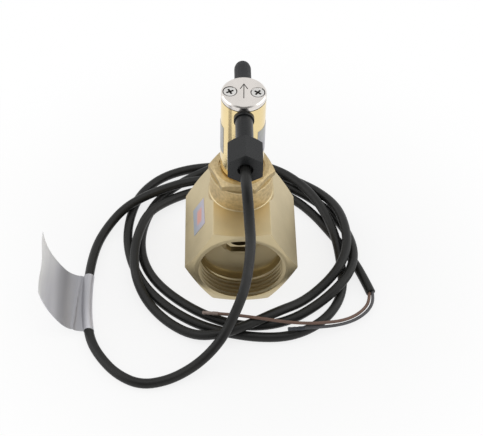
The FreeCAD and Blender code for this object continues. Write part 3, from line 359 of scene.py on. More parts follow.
def add_sticker_film(tones):
    """Silver film, bluish below and lilac above, with one soft plain patch in its middle."""
    material = new_material("sticker", tones.film, 0.4, 0.4)
    bluish, lilac = (0.30, 0.36, 0.42, 1.0), (0.58, 0.52, 0.60, 1.0)
    shares = []
    patch = (("Y", -1.5 * MM, 5.6 * MM), ("Z", AXIS_Z + 12.2 * MM, 2.3 * MM))
    for axis, middle, half in patch:
        off = compute(material, "SUBTRACT", coordinate(material, axis), middle)
        shares.append(spread(material, compute(material, "ABSOLUTE", off), 1.0, 0.0,
                             half * 0.55, half, "SMOOTHSTEP"))
    rise = spread(material, coordinate(material, "Z"), 0.0, 1.0, AXIS_Z + 6 * MM,
                  AXIS_Z + 18 * MM)
    film = add_node(material, "MixRGB", rise, bluish, lilac)
    mix = add_node(material, "MixRGB", compute(material, "MULTIPLY", *shares),
                   film.outputs["Color"], (*tones.sticker_patch, 1.0))
    feed_shader(material, Base_Color=mix.outputs["Color"])
    raise_surface(material, grain(material, 900.0), 0.01 * MM)


def add_flag_film_painted_light(tones, root, tip):
    """Silver film whose tone between x = root and its free end, x = tip, is painted light:
    painted shade near the root, a painted highlight near white at the end, and painted
    highlight streaks.
    """
    material = new_material("flag", tones.film, 0.42, 0.35)
    painted_highlight_streak = spread(material, grain(material, 110.0, 1.0, (1.0, 0.12, 1.0)), -0.08, 0.08)
    along = spread(material, coordinate(material, "X"), 0.0, 1.0, tip, root)
    # Painted light along the film, from the free end (0) to the wrap (1): a near-white painted
    # highlight at the end, painted shade darkest near the root, lighter again over the wrap
    stops = ((0.04, 1.7), (0.2, 1.25), (0.32, 0.95), (0.5, 0.75), (0.72, 0.68), (0.84, 0.8),
             (1.0, 1.15))
    vary_tone(material, compute(material, "ADD", along, painted_highlight_streak),
              [(position, shade(tones.film, factor)) for position, factor in stops])
    raise_surface(material, grain(material, 700.0, 2.0), 0.01 * MM, 0.6)


def make_finishes(tones):
    """The record's finishes, and those of surfaces that differ from their node's."""
    metal("body_brass", tones.body_brass, 0.4, 45.0, 2600.0, 0.03 * MM, 0.07)
    metal("raw_brass", tones.cast_brass, 0.5, 600.0, 2000.0, 0.09 * MM)
    # Painted light: the boss is cast brass lightened by 1.3, with a rougher cast skin
    metal("boss_brass_painted_light", shade(tones.cast_brass, 1.3), 0.55, 600.0, 2000.0, 0.11 * MM, 0.12)
    metal("polished_brass", tones.tube_brass, 0.13, 60.0, 900.0, 0.004 * MM, 0.05,
          (1.0, 1.0, 14.0))
    metal("nickel", tones.nickel, 0.2, 90.0, 700.0, 0.006 * MM, 0.04, (1.0, 6.0, 1.0))
    metal("stainless", tones.steel, 0.3, 90.0, 1200.0, 0.01 * MM, 0.06, (1.0, 1.0, 5.0))
    # Steel of the blade, darkened as painted shade
    metal("blade_steel_painted_shade", tones.blade_steel_painted_shade, 0.5, 120.0, 1200.0, 0.02 * MM, 0.12)
    metal("screw_steel", shade(tones.steel, 1.15), 0.22, 200.0, 1500.0, 0.01 * MM, 0.06)
    metal("magnet_steel", shade(tones.steel, 0.7), 0.25, 150.0, 900.0, 0.01 * MM)
    metal("silver_film", tones.film, 0.32, 60.0, 400.0, 0.012 * MM, 0.06)
    for name, tone, roughness in (
            ("black_plastic", tones.plastic, 0.3), ("grey_sleeve", tones.grey_core, 0.5),
            ("brown_sleeve", tones.brown_core, 0.5), ("grey_ferrule", tones.grey_ferrule, 0.4),
            ("brown_ferrule", tones.brown_ferrule, 0.4), ("block_plastic", tones.block, 0.45),
            ("board", tones.board, 0.35), ("recess_painted_shade", tones.recess_painted_shade, 0.7)):
        moulded(name, tone, roughness)
    moulded("black_rubber", tones.rubber, 0.58, 1400.0, 0.03 * MM)
    moulded("cable_jacket", tones.jacket, 0.42, 1100.0, 0.03 * MM, 0.2)
    moulded("gasket", tones.gasket, 0.8, 900.0, 0.05 * MM)
    add_glass()
    add_foil(tones)
    add_sticker_film(tones)


def finish(name):
    """The material of that finish, made with the others on the first call."""
    if "flow_switch_" + name not in bpy.data.materials:
        make_finishes(settings().colours)
    return bpy.data.materials["flow_switch_" + name]


# ---- mesh building

def link_object(name, data):
    """A new object in the scene."""
    thing = bpy.data.objects.new(name, data)
    bpy.context.scene.collection.objects.link(thing)
    return thing


def link_shape(name, shape):
    """A new object in the scene, from a finished shape."""
    mesh = bpy.data.meshes.new(name)
    shape.to_mesh(mesh)
    shape.free()
    return link_object(name, mesh)


def node_shape(node_name):
    """A node's own shape in the part's frame, with the seams between its faces closed."""
    node = NODES[node_name]
    shape = bmesh.new()
    shape.from_mesh(node.data)
    shape.transform(node.matrix_world)
    bmesh.ops.remove_doubles(shape, verts=shape.verts, dist=0.001 * MM)
    bmesh.ops.dissolve_limit(shape, verts=shape.verts, edges=shape.edges, angle_limit=FLAT)
    return shape


def soften(shape, width, chosen=None):
    """Breaks the sharp edges."""
    edges = [edge for edge in shape.edges
             if len(edge.link_faces) == 2 and edge.calc_face_angle(0) > SHARP
             and (chosen is None or chosen(edge))]
    bmesh.ops.bevel(shape, geom=edges, offset=width, offset_type="OFFSET", segments=2,
                    profile=0.5, affect="EDGES", clamp_overlap=True)


def settle(piece, node_name):
    """The piece stands for its node: it joins the node's body and the node is hidden."""
    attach(piece, body_of(NODES[node_name])[0])
    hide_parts(node_name)


def add_piece(name, shape, node_name, smooth=35.0, slot=None):
    """A piece from a finished shape, smooth up to that angle, in place of its node."""
    shape.normal_update()
    piece = link_shape(name, shape)
    for face in piece.data.polygons:
        face.use_smooth = True
    piece.data.set_sharp_from_angle(angle=math.radians(smooth))
    piece.data.materials.append(finish(slot or SLOTS[node_name]))
    settle(piece, node_name)
    return piece


def even_shading(piece):
    """Flat faces stay flat beside their softened edges."""
    modifier = piece.modifiers.new("Even shading", "WEIGHTED_NORMAL")
    modifier.keep_sharp = True


def add_softened(node_name, piece_name, width, slot=None):
    """A node with its edges broken."""
    shape = node_shape(node_name)
    soften(shape, width)
    even_shading(add_piece(piece_name, shape, node_name, slot=slot))


def add_finish(piece, name, chosen):
    """A second finish on the chosen faces."""
    piece.data.materials.append(finish(name))
    for face in piece.data.polygons:
        if chosen(face):
            face.material_index = 1


def finish_nodes(*node_names, name=None):
    """Nodes that keep their own shape get their finish, or the named one."""
    for node_name in node_names:
        for place in NODES[node_name].material_slots:
            place.material = finish(name or SLOTS[node_name])


def around(turn, radius, along):
    """A point about +Z."""
    return Vector((radius * math.cos(turn), radius * math.sin(turn), along))


def skinned(rings):
    """A closed shape through rings of corners; a ring may be a single point."""
    shape = bmesh.new()
    rings = [[shape.verts.new(corner) for corner in ring] for ring in rings]
    steps = max(len(ring) for ring in rings)
    for low, high in zip(rings, rings[1:]):
        for step in range(steps):
            after = (step + 1) % steps
            corners = [low[step % len(low)], low[after % len(low)], high[after % len(high)],
                       high[step % len(high)]]
            corners = list(dict.fromkeys(corners))
            if len(corners) > 2:
                shape.faces.new(corners)
    for ring in (rings[0], rings[-1]):
        if len(ring) > 2:
            shape.faces.new(ring)
    bmesh.ops.recalc_face_normals(shape, faces=shape.faces)
    return shape


def place_along(shape, base, direction):
    """Moves a shape about +Z so that it stands on base and points along direction."""
    turn = Vector(UP).rotation_difference(Vector(direction)).to_matrix().to_4x4()
    shape.transform(Matrix.Translation(Vector(base)) @ turn)
    return shape


def turned(profile, base, direction, steps=144, ripple=None):
    """A round shape from (along, radius) points; ripple(turn, along) scales a radius."""
    turns = [2 * math.pi * step / steps for step in range(steps)]
    rings = []
    for along, radius in profile:
        if radius <= 0:
            rings.append([(0, 0, along)])
        else:
            rings.append([around(turn, radius * (ripple(turn, along) if ripple else 1), along)
                          for turn in turns])
    return place_along(skinned(rings), base, direction)


def cylinder(base, direction, span, radius):
    return turned([(0, 0), (0, radius), (span, radius), (span, 0)], base, direction)


def add_shell(shape, inner, outer, round_tube=False):
    """Closes the space between two grids of corners; a round tube's columns join up."""
    columns = len(inner[0])
    spans = [(here, (here + 1) % columns) for here in range(columns - (not round_tube))]
    for low in range(len(inner) - 1):
        high = low + 1
        for here, after in spans:
            shape.faces.new([inner[low][here], inner[low][after],
                             inner[high][after], inner[high][here]])
            shape.faces.new([outer[high][here], outer[high][after],
                             outer[low][after], outer[low][here]])
        if not round_tube:
            shape.faces.new([inner[low][-1], outer[low][-1], outer[high][-1], inner[high][-1]])
            shape.faces.new([inner[high][0], outer[high][0], outer[low][0], inner[low][0]])
    for row, turn in ((0, 1), (-1, -1)):
        for here, after in spans:
            corners = [inner[row][here], outer[row][here], outer[row][after], inner[row][after]]
            shape.faces.new(corners[::turn])


def combined(base, steps):
    """The base shape after each (operation, shape) in turn."""
    work = link_shape("work", base)
    tools = []
    for operation, shape in steps:
        tools.append(link_shape("tool", shape))
        modifier = work.modifiers.new(operation, "BOOLEAN")
        modifier.operation = operation
        modifier.solver = "EXACT"
        modifier.object = tools[-1]
    bpy.context.view_layer.update()
    result = bmesh.new()
    result.from_mesh(work.evaluated_get(bpy.context.evaluated_depsgraph_get()).data)
    for thing in [work, *tools]:
        bpy.data.meshes.remove(thing.data)
    return result


# ---- cable

def cord_curve(name, route, diameter):
    """A round cord on one smooth curve through its route."""
    curve = bpy.data.curves.new(name, "CURVE")
    curve.dimensions = "3D"
    spline = curve.splines.new("NURBS")
    spline.points.add(len(route) - 1)
    for point, place in zip(spline.points, route):
        point.co = (*[part * MM for part in place], 1.0)
    spline.order_u = 3
    spline.use_endpoint_u = True
    spline.resolution_u = 6
    curve.bevel_depth = diameter / 2
    curve.bevel_resolution = 5
    curve.use_fill_caps = True
    return link_object(name, curve)


def centre_line(route):
    """Points along the middle of a cord, read from its curve."""
    bare = cord_curve("centre_line", route, 0.0)
    bare.data.use_fill_caps = False
    mesh = bpy.data.meshes.new_from_object(bare)
    points = [vertex.co.copy() for vertex in mesh.vertices]
    bpy.data.meshes.remove(mesh)
    bpy.data.curves.remove(bare.data)
    return points


class FLOWSWITCH_OT_add_cable(Operator):
    """Lay the cable round the body and its two cores to their end sleeves"""
    bl_idname = "flow_switch.add_cable"
    bl_label = "Cable and Cores"

    # The sleeve's crimps, as (share of its length, share of its radius)
    FERRULE = ((0, 0), (0, 0.8), (0.04, 1), (0.36, 1), (0.40, 0.86), (0.52, 0.86),
               (0.56, 0.95), (0.66, 0.95), (0.70, 0.86), (0.82, 0.86), (0.86, 0.93),
               (0.97, 0.93), (1, 0.75), (1, 0))

    def execute(self, context):
        sizes = settings().cable
        cable = self.add_cord("cable_sheath", "cable", CABLE_ROUTE, sizes.cable)
        self.declare(cable, CABLE_ROUTE, sizes.cable, far_end="bare", lay="coiled",
                     with_pieces=["cable_flag_film"])
        for tone, route in (("grey", GREY_ROUTE), ("brown", BROWN_ROUTE)):
            core = self.add_cord(tone + "_core_sleeve", tone + "_core", route, sizes.core)
            self.add_ferrule(sizes, tone, route)
            self.declare(core, route, sizes.core, far_end="fitting", lay="loose",
                         with_pieces=[tone + "_core_ferrule"])
        return {"FINISHED"}

    def add_cord(self, name, node_name, route, diameter):
        cord = cord_curve(name, route, diameter)
        cord.data.materials.append(finish(SLOTS[node_name]))
        settle(cord, node_name)
        return cord

    def declare(self, cord, route, diameter, **ends):
        line = centre_line(route)

    def add_ferrule(self, sizes, tone, route):
        """A crimped sleeve in line with the core's last run."""
        end, before = Vector(route[-1]) * MM, Vector(route[-2]) * MM
        profile = [(along * sizes.ferrule_length, wide * sizes.ferrule / 2)
                   for along, wide in self.FERRULE]
        add_piece(tone + "_core_ferrule", turned(profile, end, (end - before).normalized(), 24),
                  tone + "_ferrule", 50.0)


class FLOWSWITCH_OT_add_flag(Operator):
    """Wrap the film round the cable, its two ends stuck together and curling up"""
    bl_idname = "flow_switch.add_flag"
    bl_label = "Cable Flag"

    OUTER_X = -60 * MM      # only the outermost strand lies beyond
    FRONT = -44.6 * MM
    BACK = -11.6 * MM
    ROWS = 44               # from front to back
    COLUMNS = 90            # from the cable to the free end
    ROOT_X = -75.2 * MM
    PAINTED_LIGHT_FROM_X = -72 * MM  # where the painted light and shade on the film start
    TIP_X = -93 * MM
    CURL_R = 11 * MM        # the tight bend beside the cable
    CURL = math.radians(60)
    SWEEP_R = 58 * MM       # the wide bend beyond it
    SWEEP = math.radians(28)
    REACH = (0.925, 1.025)  # share of the film there is at the front and at the back
    CREASE = (0.13, 0.07)   # where the crease lies at the front and at the back
    CREASE_HALF = 0.014
    CREASE_RISE = 0.45 * MM
    WAVE_RISE = 0.35 * MM
    WAVES = 1.3             # from front to back
    JOIN = 1.8 * MM         # from the cable's middle to where the film leaves the wrap

    def film_line(self, share):
        """(x, height above the cable's middle) and outward direction at a share of the film."""
        bend = self.CURL_R * self.CURL
        along = share * (bend + self.SWEEP_R * self.SWEEP)
        middle = Vector((self.ROOT_X, self.CURL_R))
        radius = self.CURL_R
        turn = math.pi / 2 - along / radius
        if along >= bend:
            knee = math.pi / 2 - self.CURL
            radius = self.SWEEP_R
            turn = knee - (along - bend) / radius
            middle += Vector((math.cos(knee), math.sin(knee))) * (radius - self.CURL_R)
        outward = -Vector((math.cos(turn), math.sin(turn)))
        return middle + outward * radius, outward

    def execute(self, context):
        sizes = settings().cable
        margin = 6 * MM
        line = [point for point in centre_line(CABLE_ROUTE) if point.x < self.OUTER_X
                and self.FRONT - margin < point.y < self.BACK + margin]
        line.sort(key=lambda point: point.y)
        places = []
        for row in range(self.ROWS + 1):
            y = self.FRONT + (self.BACK - self.FRONT) * row / self.ROWS
            after = next(i for i, point in enumerate(line) if point.y >= y)
            low, high = line[after - 1], line[after]
            places.append(low.lerp(high, (y - low.y) / (high.y - low.y)))
        shape = bmesh.new()
        self.add_wrap(shape, places, sizes)
        self.add_film(shape, places, sizes.flag_film / 2)
        bmesh.ops.recalc_face_normals(shape, faces=shape.faces)
        film = add_piece("cable_flag_film", shape, "cable_flag", 40.0)
        # The film's tone is painted light: painted shade near the root and a painted highlight
        # towards the free end
        add_flag_film_painted_light(settings().colours, self.PAINTED_LIGHT_FROM_X, self.TIP_X)
        film.data.materials[0] = finish("flag")
        return {"FINISHED"}

    def add_wrap(self, shape, places, sizes):
        """The turn of film round the cable."""
        steps = 32
        turns = [2 * math.pi * step / steps for step in range(steps)]
        sides = []
        for over in (0.03 * MM, sizes.flag_wrap):
            radius = sizes.cable / 2 + over
            sides.append([[shape.verts.new((place.x + radius * math.cos(turn), place.y,
                                            place.z + radius * math.sin(turn)))
                           for turn in turns] for place in places])
        add_shell(shape, *sides, round_tube=True)

    def add_film(self, shape, places, half):
        """The free part, two films thick, with a crease and a slow wave."""
        sides = [[], []]
        for row, place in enumerate(places):
            back = row / len(places)
            reach, crease = (ends[0] + (ends[1] - ends[0]) * back
                             for ends in (self.REACH, self.CREASE))
            for side in sides:
                side.append([])
            for column in range(self.COLUMNS + 1):
                share = column / self.COLUMNS * reach
                (x, rise), outward = self.film_line(share)
                wave = self.CREASE_RISE * math.exp(-((share - crease) / self.CREASE_HALF) ** 2)
                turn = self.WAVES * 2 * math.pi * back + 4 * share
                wave += self.WAVE_RISE * share * math.sin(turn)
                wave *= min(1, share * 10)
                start = (1 - share) ** 3 * (place.x + self.JOIN - self.ROOT_X) * 0.3
                for side, over in zip(sides, (-half, half)):
                    offset = outward * (over - wave)
                    side[-1].append(shape.verts.new((x + offset.x + start, place.y,
                                                     place.z + rise + offset.y)))
        add_shell(shape, *sides)


# ---- body

class FLOWSWITCH_OT_add_body(Operator):
    """Cut the hexagonal body, with a pipe thread in each port and the web with its window"""
    bl_idname = "flow_switch.add_body"
    bl_label = "Body"

    RING_R = 22.1 * MM
    CONE = math.radians(22)
    BOSS_R = 14.7 * MM
    BOSS_TOP = 57.5 * MM
    PORT_DEPTH = 14.8 * MM
    RIM_R = 18.6 * MM
    EYE_R = 9.5 * MM
    DISH = 3.4 * MM
    WEB_FRONT = -6.05 * MM
    WEB_BACK = -2.85 * MM
    WINDOW = (6.5 * MM, 8 * MM, 2 * MM)  # half width, half height and cut corner
    CHAMBER_R = 18 * MM
    HEAD_BORE_R = 9.9 * MM
    HEAD_BORE_FROM = 38 * MM
    HEAD_BORE_SPAN = 20 * MM
    THREAD_FLANK = math.radians(27.5)
    THREAD_STEPS = 96       # in each turn
    RUN_OUT = 0.6           # turns over which the thread fades away

    def thread_cutter(self, sizes):
        """A helical ridge about +Z, entering at z = 0 and running out at its end."""
        pitch = sizes.thread_pitch
        turns = (sizes.thread_reach + pitch) / pitch
        foot = sizes.thread_crest - 0.25 * MM
        depth = sizes.thread_root - foot
        root_half = pitch / 12
        foot_half = root_half + depth * math.tan(self.THREAD_FLANK)
        rings = []
        for step in range(int(turns * self.THREAD_STEPS) + 1):
            done = step / self.THREAD_STEPS
            peak = foot + depth * min(1.0, (turns - done) / self.RUN_OUT)
            rings.append([around(2 * math.pi * done, radius, pitch * done - pitch + rise)
                          for radius, rise in ((foot, -foot_half), (peak, -root_half),
                                               (peak, root_half), (foot, foot_half))])
        return skinned(rings)

    def bar(self, sizes):
        """The hexagonal bar with its six long edges broken."""
        corners = [around(math.radians(60 * i), BODY_FLATS / math.sqrt(3), 0) for i in range(6)]
        shape = skinned([[(x, y, AXIS_Z + z) for x, z, _ in corners]
                         for y in (-BODY_LENGTH / 2, BODY_LENGTH / 2)])
        long_edges = [edge for edge in shape.edges if edge.calc_length() > 0.9 * BODY_LENGTH]
        bmesh.ops.bevel(shape, geom=long_edges, offset=sizes.edge_break, offset_type="OFFSET",
                        segments=3, profile=0.5, affect="EDGES")
        return shape

    def ends(self, sizes):
        """The turned shape of both ends: a flat ring and a cone beyond it."""
        reach = BODY_FLATS / math.sqrt(3) + 1 * MM
        rise = (reach - self.RING_R) * math.tan(self.CONE)
        soft = sizes.edge_break
        half = [(0, 0), (0, self.RING_R - soft), (soft * 0.12, self.RING_R - soft * 0.35),
                (soft * 0.4, self.RING_R + soft * 0.45), (rise, reach)]
        profile = half + [(BODY_LENGTH - along, radius) for along, radius in half[::-1]]
        return turned(profile, (0, -BODY_LENGTH / 2, AXIS_Z), FLOW)

    def boss(self, sizes):
        """The round boss under the head, with a small cove where it leaves the flat."""
        soft = sizes.edge_break
        flat = BODY_FLATS / 2
        top = self.BOSS_TOP - AXIS_Z
        outline = [(flat, 2), (flat + 0.3 * soft, 1), (flat + soft, 0.3), (flat + 2 * soft, 0),
                   (top - 1.5 * soft, 0), (top - 0.5 * soft, -0.3), (top, -1.4)]
        profile = [(0, 0), (0, self.BOSS_R + 2 * soft)]
        profile += [(along, self.BOSS_R + wide * soft) for along, wide in outline]
        return turned(profile + [(top, 0)], (0, HEAD_Y, AXIS_Z), UP)

    def port(self, sizes, side):
        """The bore of one port; the front one, on side -1, ends in the dished web."""
        crest = sizes.thread_crest
        end = self.PORT_DEPTH
        profile = [(-1 * MM, 0), (-1 * MM, crest + 1.6 * MM), (0.6 * MM, crest), (end, crest)]
        if side < 0:
            profile += [(end, self.RIM_R + 0.15 * MM), (end + 0.1 * MM, self.RIM_R - 0.2 * MM),
                        (end + self.DISH * 0.95, self.EYE_R + 0.6 * MM)]
            end += self.DISH
            profile.append((end, self.EYE_R))
        return turned(profile + [(end, 0)], (0, side * BODY_LENGTH / 2, AXIS_Z), (0, -side, 0))

    def window(self, sizes):
        """The window in the web: a rectangle with its corners cut off and its lip broken."""
        soft = sizes.edge_break
        half_width, half_height, cut = self.WINDOW
        rings = []
        for y, extra in ((self.WEB_FRONT - 1 * MM, soft), (self.WEB_FRONT, soft),
                         (self.WEB_FRONT + 0.3 * soft, 0.3 * soft),
                         (self.WEB_FRONT + soft, 0), (self.WEB_BACK + 1 * MM, 0)):
            w, h = half_width + extra, half_height + extra
            outline = [(-w, cut - h), (cut - w, -h), (w - cut, -h), (w, cut - h),
                       (w, h - cut), (w - cut, h), (cut - w, h), (-w, h - cut)]
            rings.append([(x, y, AXIS_Z + z) for x, z in outline])
        return skinned(rings)

    def execute(self, context):
        sizes = settings().body
        chamber = BODY_LENGTH / 2 - self.PORT_DEPTH + 0.5 * MM - self.WEB_BACK
        steps = [("INTERSECT", self.ends(sizes)), ("UNION", self.boss(sizes))]
        cutters = [self.port(sizes, side) for side in (-1, 1)]
        cutters += [cylinder((0, self.WEB_BACK, AXIS_Z), FLOW, chamber, self.CHAMBER_R),
                    self.window(sizes),
                    cylinder((0, HEAD_Y, self.HEAD_BORE_FROM), UP, self.HEAD_BORE_SPAN,
                             self.HEAD_BORE_R)]
        cutters += [place_along(self.thread_cutter(sizes), (0, side * BODY_LENGTH / 2, AXIS_Z),
                                (0, -side, 0)) for side in (-1, 1)]
        steps += [("DIFFERENCE", cutter) for cutter in cutters]
        piece = add_piece("threaded_body", combined(self.bar(sizes), steps), "body", 28.0)
        even_shading(piece)
        # The boss's sides get a lightened brass tone as painted light
        add_finish(piece, "boss_brass_painted_light", self.on_boss)
        return {"FINISHED"}

    def on_boss(self, face):
        """Whether a face is on the side of the boss, which keeps its rougher cast skin and a
        tone lightened as painted light.
        """
        away = math.hypot(face.center.x, face.center.y - HEAD_Y)
        return (face.center.z > BODY_FLATS - 7 * MM and abs(face.normal.z) < 0.35
                and self.BOSS_R - 1.2 * MM < away < self.BOSS_R + 1 * MM)


class FLOWSWITCH_OT_add_collar(Operator):
    """Soften the hexagonal adapter that screws into the boss"""
    bl_idname = "flow_switch.add_collar"
    bl_label = "Hexagonal Adapter"

    def execute(self, context):
        add_softened("hex_adapter", "adapter_collar", settings().body.edge_break)
        finish_nodes("adapter_o_ring")
        return {"FINISHED"}


# ---- head

class FLOWSWITCH_OT_add_head(Operator):
    """Polish the head tube"""
    bl_idname = "flow_switch.add_head"
    bl_label = "Head Tube"

    def execute(self, context):
        add_softened("head_tube", "polished_tube", settings().body.machined_break / 2)
        finish_nodes("separator", "separator_o_ring", "return_magnet", "cap_gasket")
        return {"FINISHED"}


class FLOWSWITCH_OT_add_cap(Operator):
    """Plate the cap, paint shade into its engraved arrow and screw recesses and fit its two
    screws
    """
    bl_idname = "flow_switch.add_cap"
    bl_label = "Cap and Screws"

    SCREW_AWAY = 6.1 * MM       # from the middle of the cap
    SCREW_TURN = math.radians(-3)
    SKIN = 0.02 * MM            # deeper faces aren't part of the top
    ARROW_DEPTH = 0.3 * MM
    ARROW_HALF = 2.2 * MM
    ARROW_REACH = 6 * MM
    SEAT_R = 3.2 * MM
    CROSS_R = 1.75 * MM
    CROSS_DEPTHS = (0.15 * MM, 1.2 * MM)
    RIM_FROM = 9 * MM

    def from_screw(self, face):
        """Distance from the nearer screw's middle."""
        line = around(self.SCREW_TURN, self.SCREW_AWAY, 0).xy
        return min((Vector((0, HEAD_Y)) + side * line - face.center.xy).length
                   for side in (-1, 1))

    def in_arrow(self, face):
        x, y, z = face.center
        return (CAP_TOP - self.ARROW_DEPTH < z < CAP_TOP - self.SKIN
                and abs(x) < self.ARROW_HALF and math.hypot(x, y - HEAD_Y) < self.ARROW_REACH)

    def in_seat(self, face):
        return face.center.z < CAP_TOP - self.SKIN and self.from_screw(face) < self.SEAT_R

    def in_cross(self, face):
        least, most = self.CROSS_DEPTHS
        return (CAP_TOP - most < face.center.z < CAP_TOP - least
                and self.from_screw(face) < self.CROSS_R)

    def on_rim(self, edge):
        return max(math.hypot(corner.co.x, corner.co.y - HEAD_Y)
                   for corner in edge.verts) > self.RIM_FROM

    def execute(self, context):
        shape = node_shape("cap_plate")
        soften(shape, settings().body.machined_break, self.on_rim)
        cap = add_piece("cap_disc", shape, "cap_plate")
        # Painted shade in the engraved arrow and in the ring of each screw seat
        add_finish(cap, "recess_painted_shade", lambda face: self.in_arrow(face) or self.in_seat(face))
        screws = add_piece("cap_screw_pair", node_shape("cap_screws"), "cap_screws")
        # Painted shade in the screws' cross recesses
        add_finish(screws, "recess_painted_shade", self.in_cross)
        even_shading(cap)
        even_shading(screws)
        return {"FINISHED"}


class FLOWSWITCH_OT_add_gland(Operator):
    """Fit the cable gland: body, nut, seal and the cable inside"""
    bl_idname = "flow_switch.add_gland"
    bl_label = "Cable Gland"

    def execute(self, context):
        width = settings().body.machined_break
        add_softened("gland_body", "gland_barrel", width)
        add_softened("gland_nut", "gland_hex_nut", 2 * width)
        finish_nodes("gland_seal", "cable_entry")
        return {"FINISHED"}


class FLOWSWITCH_OT_add_adjuster_cap(Operator):
    """Mould the ribbed rubber cap over the adjusting screw"""
    bl_idname = "flow_switch.add_adjuster_cap"
    bl_label = "Adjuster Cap"

    START = 10.95 * MM          # from the middle of the head
    BORE_R = 3.05 * MM
    BORE_END = 4.65 * MM
    RADIUS = 3.8 * MM
    GROOVE = 1.4 * MM           # end of the groove behind the lip
    STRAIGHT = 11.2 * MM        # end of the straight side
    NOSE = 15.55 * MM
    NUB_R = 0.9 * MM
    NUB_END = 16.75 * MM
    RIBS = 16
    RIB_DEPTH = 0.018           # share of the radius

    def ribs(self, turn, along):
        if along < 1.5 * MM or along > self.NOSE - 1.5 * MM:
            return 1.0
        return 1.0 - self.RIB_DEPTH * (0.5 + 0.5 * math.cos(self.RIBS * turn)) ** 4

    def execute(self, context):
        radius, nub = self.RADIUS, self.NUB_R
        profile = [(self.BORE_END, 0), (self.BORE_END, self.BORE_R), (0, self.BORE_R),
                   (0, 3.6 * MM), (0.2 * MM, radius), (0.9 * MM, radius),
                   (1.0 * MM, radius * 0.97), (1.3 * MM, radius * 0.97), (self.GROOVE, radius)]
        profile += [(self.GROOVE + (self.STRAIGHT - self.GROOVE) * step / 4, radius)
                    for step in range(1, 5)]
        for step in range(1, 13):
            share = step / 12
            profile.append((self.STRAIGHT + (self.NOSE - self.STRAIGHT) * share,
                            nub + (radius - nub) * math.sqrt(1 - share * share)))
        profile += [(self.NOSE + 0.3 * MM, nub), (self.NUB_END - 0.25 * MM, nub),
                    (self.NUB_END, nub * 0.75), (self.NUB_END, 0)]
        shape = turned(profile, (0, HEAD_Y + self.START, PORTS_Z), FLOW, 128, self.ribs)
        add_piece("ribbed_cap", shape, "adjuster_cap", 40.0)
        return {"FINISHED"}


class FLOWSWITCH_OT_add_mechanism(Operator):
    """Finish the lever, the blade and the pieces inside the head"""
    bl_idname = "flow_switch.add_mechanism"
    bl_label = "Lever and Inner Pieces"

    def execute(self, context):
        width = settings().body.machined_break
        add_softened("paddle_lever", "swinging_lever", width)
        # The blade gets steel darkened as painted shade
        add_softened("paddle_blade", "flow_blade", width, "blade_steel_painted_shade")
        finish_nodes("blade_screws", "pivot_pin", "pivot_bushes", "magnet_holder",
                     "lever_magnet", "contact_block", "terminal_board", "reed_carrier",
                     "reed_glass", "reed_contacts", "lead_wires", "adjuster_bush",
                     "adjusting_screw", "screw_clip")
        return {"FINISHED"}


class FLOWSWITCH_OT_add_labels(Operator):
    """Lay the plain foil round the head and the plain sticker on the body"""
    bl_idname = "flow_switch.add_labels"
    bl_label = "Foil and Sticker"

    def execute(self, context):
        finish_nodes("head_foil", name="foil")
        finish_nodes("body_sticker", name="sticker")
        return {"FINISHED"}


# ---- studio

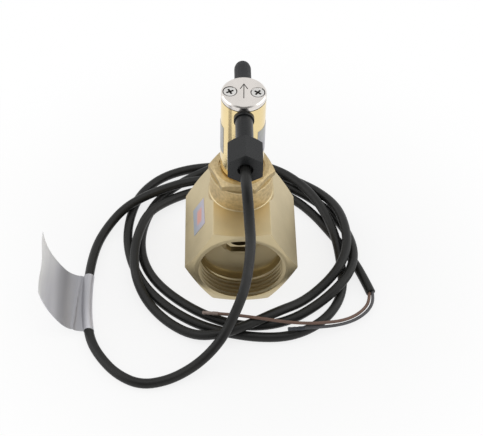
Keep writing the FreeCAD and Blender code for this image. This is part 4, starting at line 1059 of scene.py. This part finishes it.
class FLOWSWITCH_OT_set_stage(Operator):
    """Set the pale floor, the soft light and the camera"""
    bl_idname = "flow_switch.set_stage"
    bl_label = "Studio"

    AIM = Vector((0, 0, 40 * MM))  # what the lights face
    OVERHEAD = (0, -0.05, 1.0)
    BESIDE = (0.85, 0.1, 0.5)
    FLOOR_HALF = 20.0
    FLOOR_Z = -0.02 * MM

    def looks(self, material, *kinds):
        """1 for those kinds of ray, otherwise 0."""
        path = add_node(material, "LightPath")
        total = path.outputs["Is %s Ray" % kinds[0]]
        for kind in kinds[1:]:
            total = compute(material, "MAXIMUM", total, path.outputs["Is %s Ray" % kind])
        return total

    def add_floor(self, stage):
        """A pale floor that turns to plain white away from the part."""
        shape = bmesh.new()
        bmesh.ops.create_grid(shape, x_segments=1, y_segments=1, size=self.FLOOR_HALF)
        floor = link_shape("studio_floor", shape)
        floor.location.z = self.FLOOR_Z
        material = bpy.data.materials.new("studio_floor")
        material.use_nodes = True
        material.node_tree.nodes.clear()
        plain = add_node(material, "BsdfDiffuse", Color=(*stage.floor, 1.0))
        glow = add_node(material, "Emission", Color=WHITE, Strength=1.0)
        away = compute(material, "LENGTH", own_place(material), kind="VectorMath")
        white = spread(material, away, stage.floor_glow, 1.0, stage.fade_from, stage.fade_to,
                       "SMOOTHSTEP")
        eyes = self.looks(material, "Camera", "Glossy", "Transmission")
        mix = add_node(material, "MixShader", compute(material, "MULTIPLY", eyes, white),
                       plain.outputs["BSDF"], glow.outputs["Emission"])
        add_node(material, "OutputMaterial", Surface=mix.outputs["Shader"])
        floor.data.materials.append(material)

    def add_world(self, stage):
        """Even light. Reflections see a white tent with a dark opening at the camera."""
        world = bpy.data.worlds.new("studio_light")
        bpy.context.scene.world = world
        world.use_nodes = True
        facing = compute(world, "DOT_PRODUCT", add_node(world, "TexCoord").outputs["Generated"],
                         Vector(stage.camera_place).normalized(), kind="VectorMath")
        room = spread(world, facing, stage.tent - stage.daylight,
                      stage.opening_tone - stage.daylight, math.cos(stage.opening),
                      math.cos(stage.opening / 3), "SMOOTHSTEP")
        mirrored = compute(world, "MULTIPLY_ADD", self.looks(world, "Glossy"), room,
                           stage.daylight)
        strength = compute(world, "MULTIPLY_ADD", self.looks(world, "Camera", "Transmission"),
                           1.0 - stage.daylight, mirrored)
        feed(world, world.node_tree.nodes["Background"], Color=WHITE, Strength=strength)

    def add_light(self, name, watts, place, size):
        light = bpy.data.lights.new(name, "AREA")
        light.energy = watts
        light.shape = "DISK"
        light.size = size
        lamp = link_object(name, light)
        lamp.location = place
        lamp.rotation_euler = (self.AIM - lamp.location).to_track_quat("-Z", "Y").to_euler()

    def add_camera(self, stage):
        camera = bpy.data.cameras.new("camera")
        camera.lens = stage.lens
        camera.sensor_width = 36.0
        camera.shift_x = stage.shift
        camera.clip_start = 0.01
        eye = link_object("camera", camera)
        eye.location = stage.camera_place
        eye.rotation_euler = (stage.camera_tilt, 0, 0)
        bpy.context.scene.camera = eye

    def execute(self, context):
        stage = settings().stage
        self.add_floor(stage)
        self.add_world(stage)
        self.add_light("overhead", stage.overhead_power, self.OVERHEAD, size=1.1)
        x, y, z = self.BESIDE
        for side in (-1, 1):
            self.add_light("side", stage.side_power, (side * x, y, z), size=1.0)
        self.add_camera(stage)
        bpy.context.scene.view_settings.view_transform = "Standard"
        return {"FINISHED"}


# ---- add-on

STEPS = [
    FLOWSWITCH_OT_set_stage, FLOWSWITCH_OT_add_flag, FLOWSWITCH_OT_add_cable,
    FLOWSWITCH_OT_add_body, FLOWSWITCH_OT_add_collar, FLOWSWITCH_OT_add_head,
    FLOWSWITCH_OT_add_cap, FLOWSWITCH_OT_add_gland, FLOWSWITCH_OT_add_adjuster_cap,
    FLOWSWITCH_OT_add_mechanism, FLOWSWITCH_OT_add_labels,
]


class FLOWSWITCH_PT_pieces(Panel):
    """Sizes, colours and pieces of the flow switch"""
    bl_idname = "FLOWSWITCH_PT_pieces"
    bl_label = "Paddle Flow Switch"
    bl_space_type = "VIEW_3D"
    bl_region_type = "UI"
    bl_category = "Flow Switch"

    def draw(self, context):
        for step in STEPS:
            self.layout.operator(step.bl_idname)
        for name in ("body", "cable", "colours", "stage"):
            group = getattr(context.scene.flow_switch, name)
            box = self.layout.box()
            box.label(text=name.capitalize())
            for key in group.bl_rna.properties.keys():
                if key not in ("rna_type", "name"):
                    box.prop(group, key)


CLASSES = [FlowSwitchBodySizes, FlowSwitchCableSizes, FlowSwitchColours, FlowSwitchStage,
           FlowSwitchSettings, *STEPS, FLOWSWITCH_PT_pieces]


def register():
    for cls in CLASSES:
        bpy.utils.register_class(cls)
    bpy.types.Scene.flow_switch = PointerProperty(type=FlowSwitchSettings)


def unregister():
    del bpy.types.Scene.flow_switch
    for cls in reversed(CLASSES):
        bpy.utils.unregister_class(cls)


def main():
    register()
    for step in STEPS:
        group, name = step.bl_idname.split(".")
        getattr(getattr(bpy.ops, group), name)()


if __name__ == "__main__":
    main()
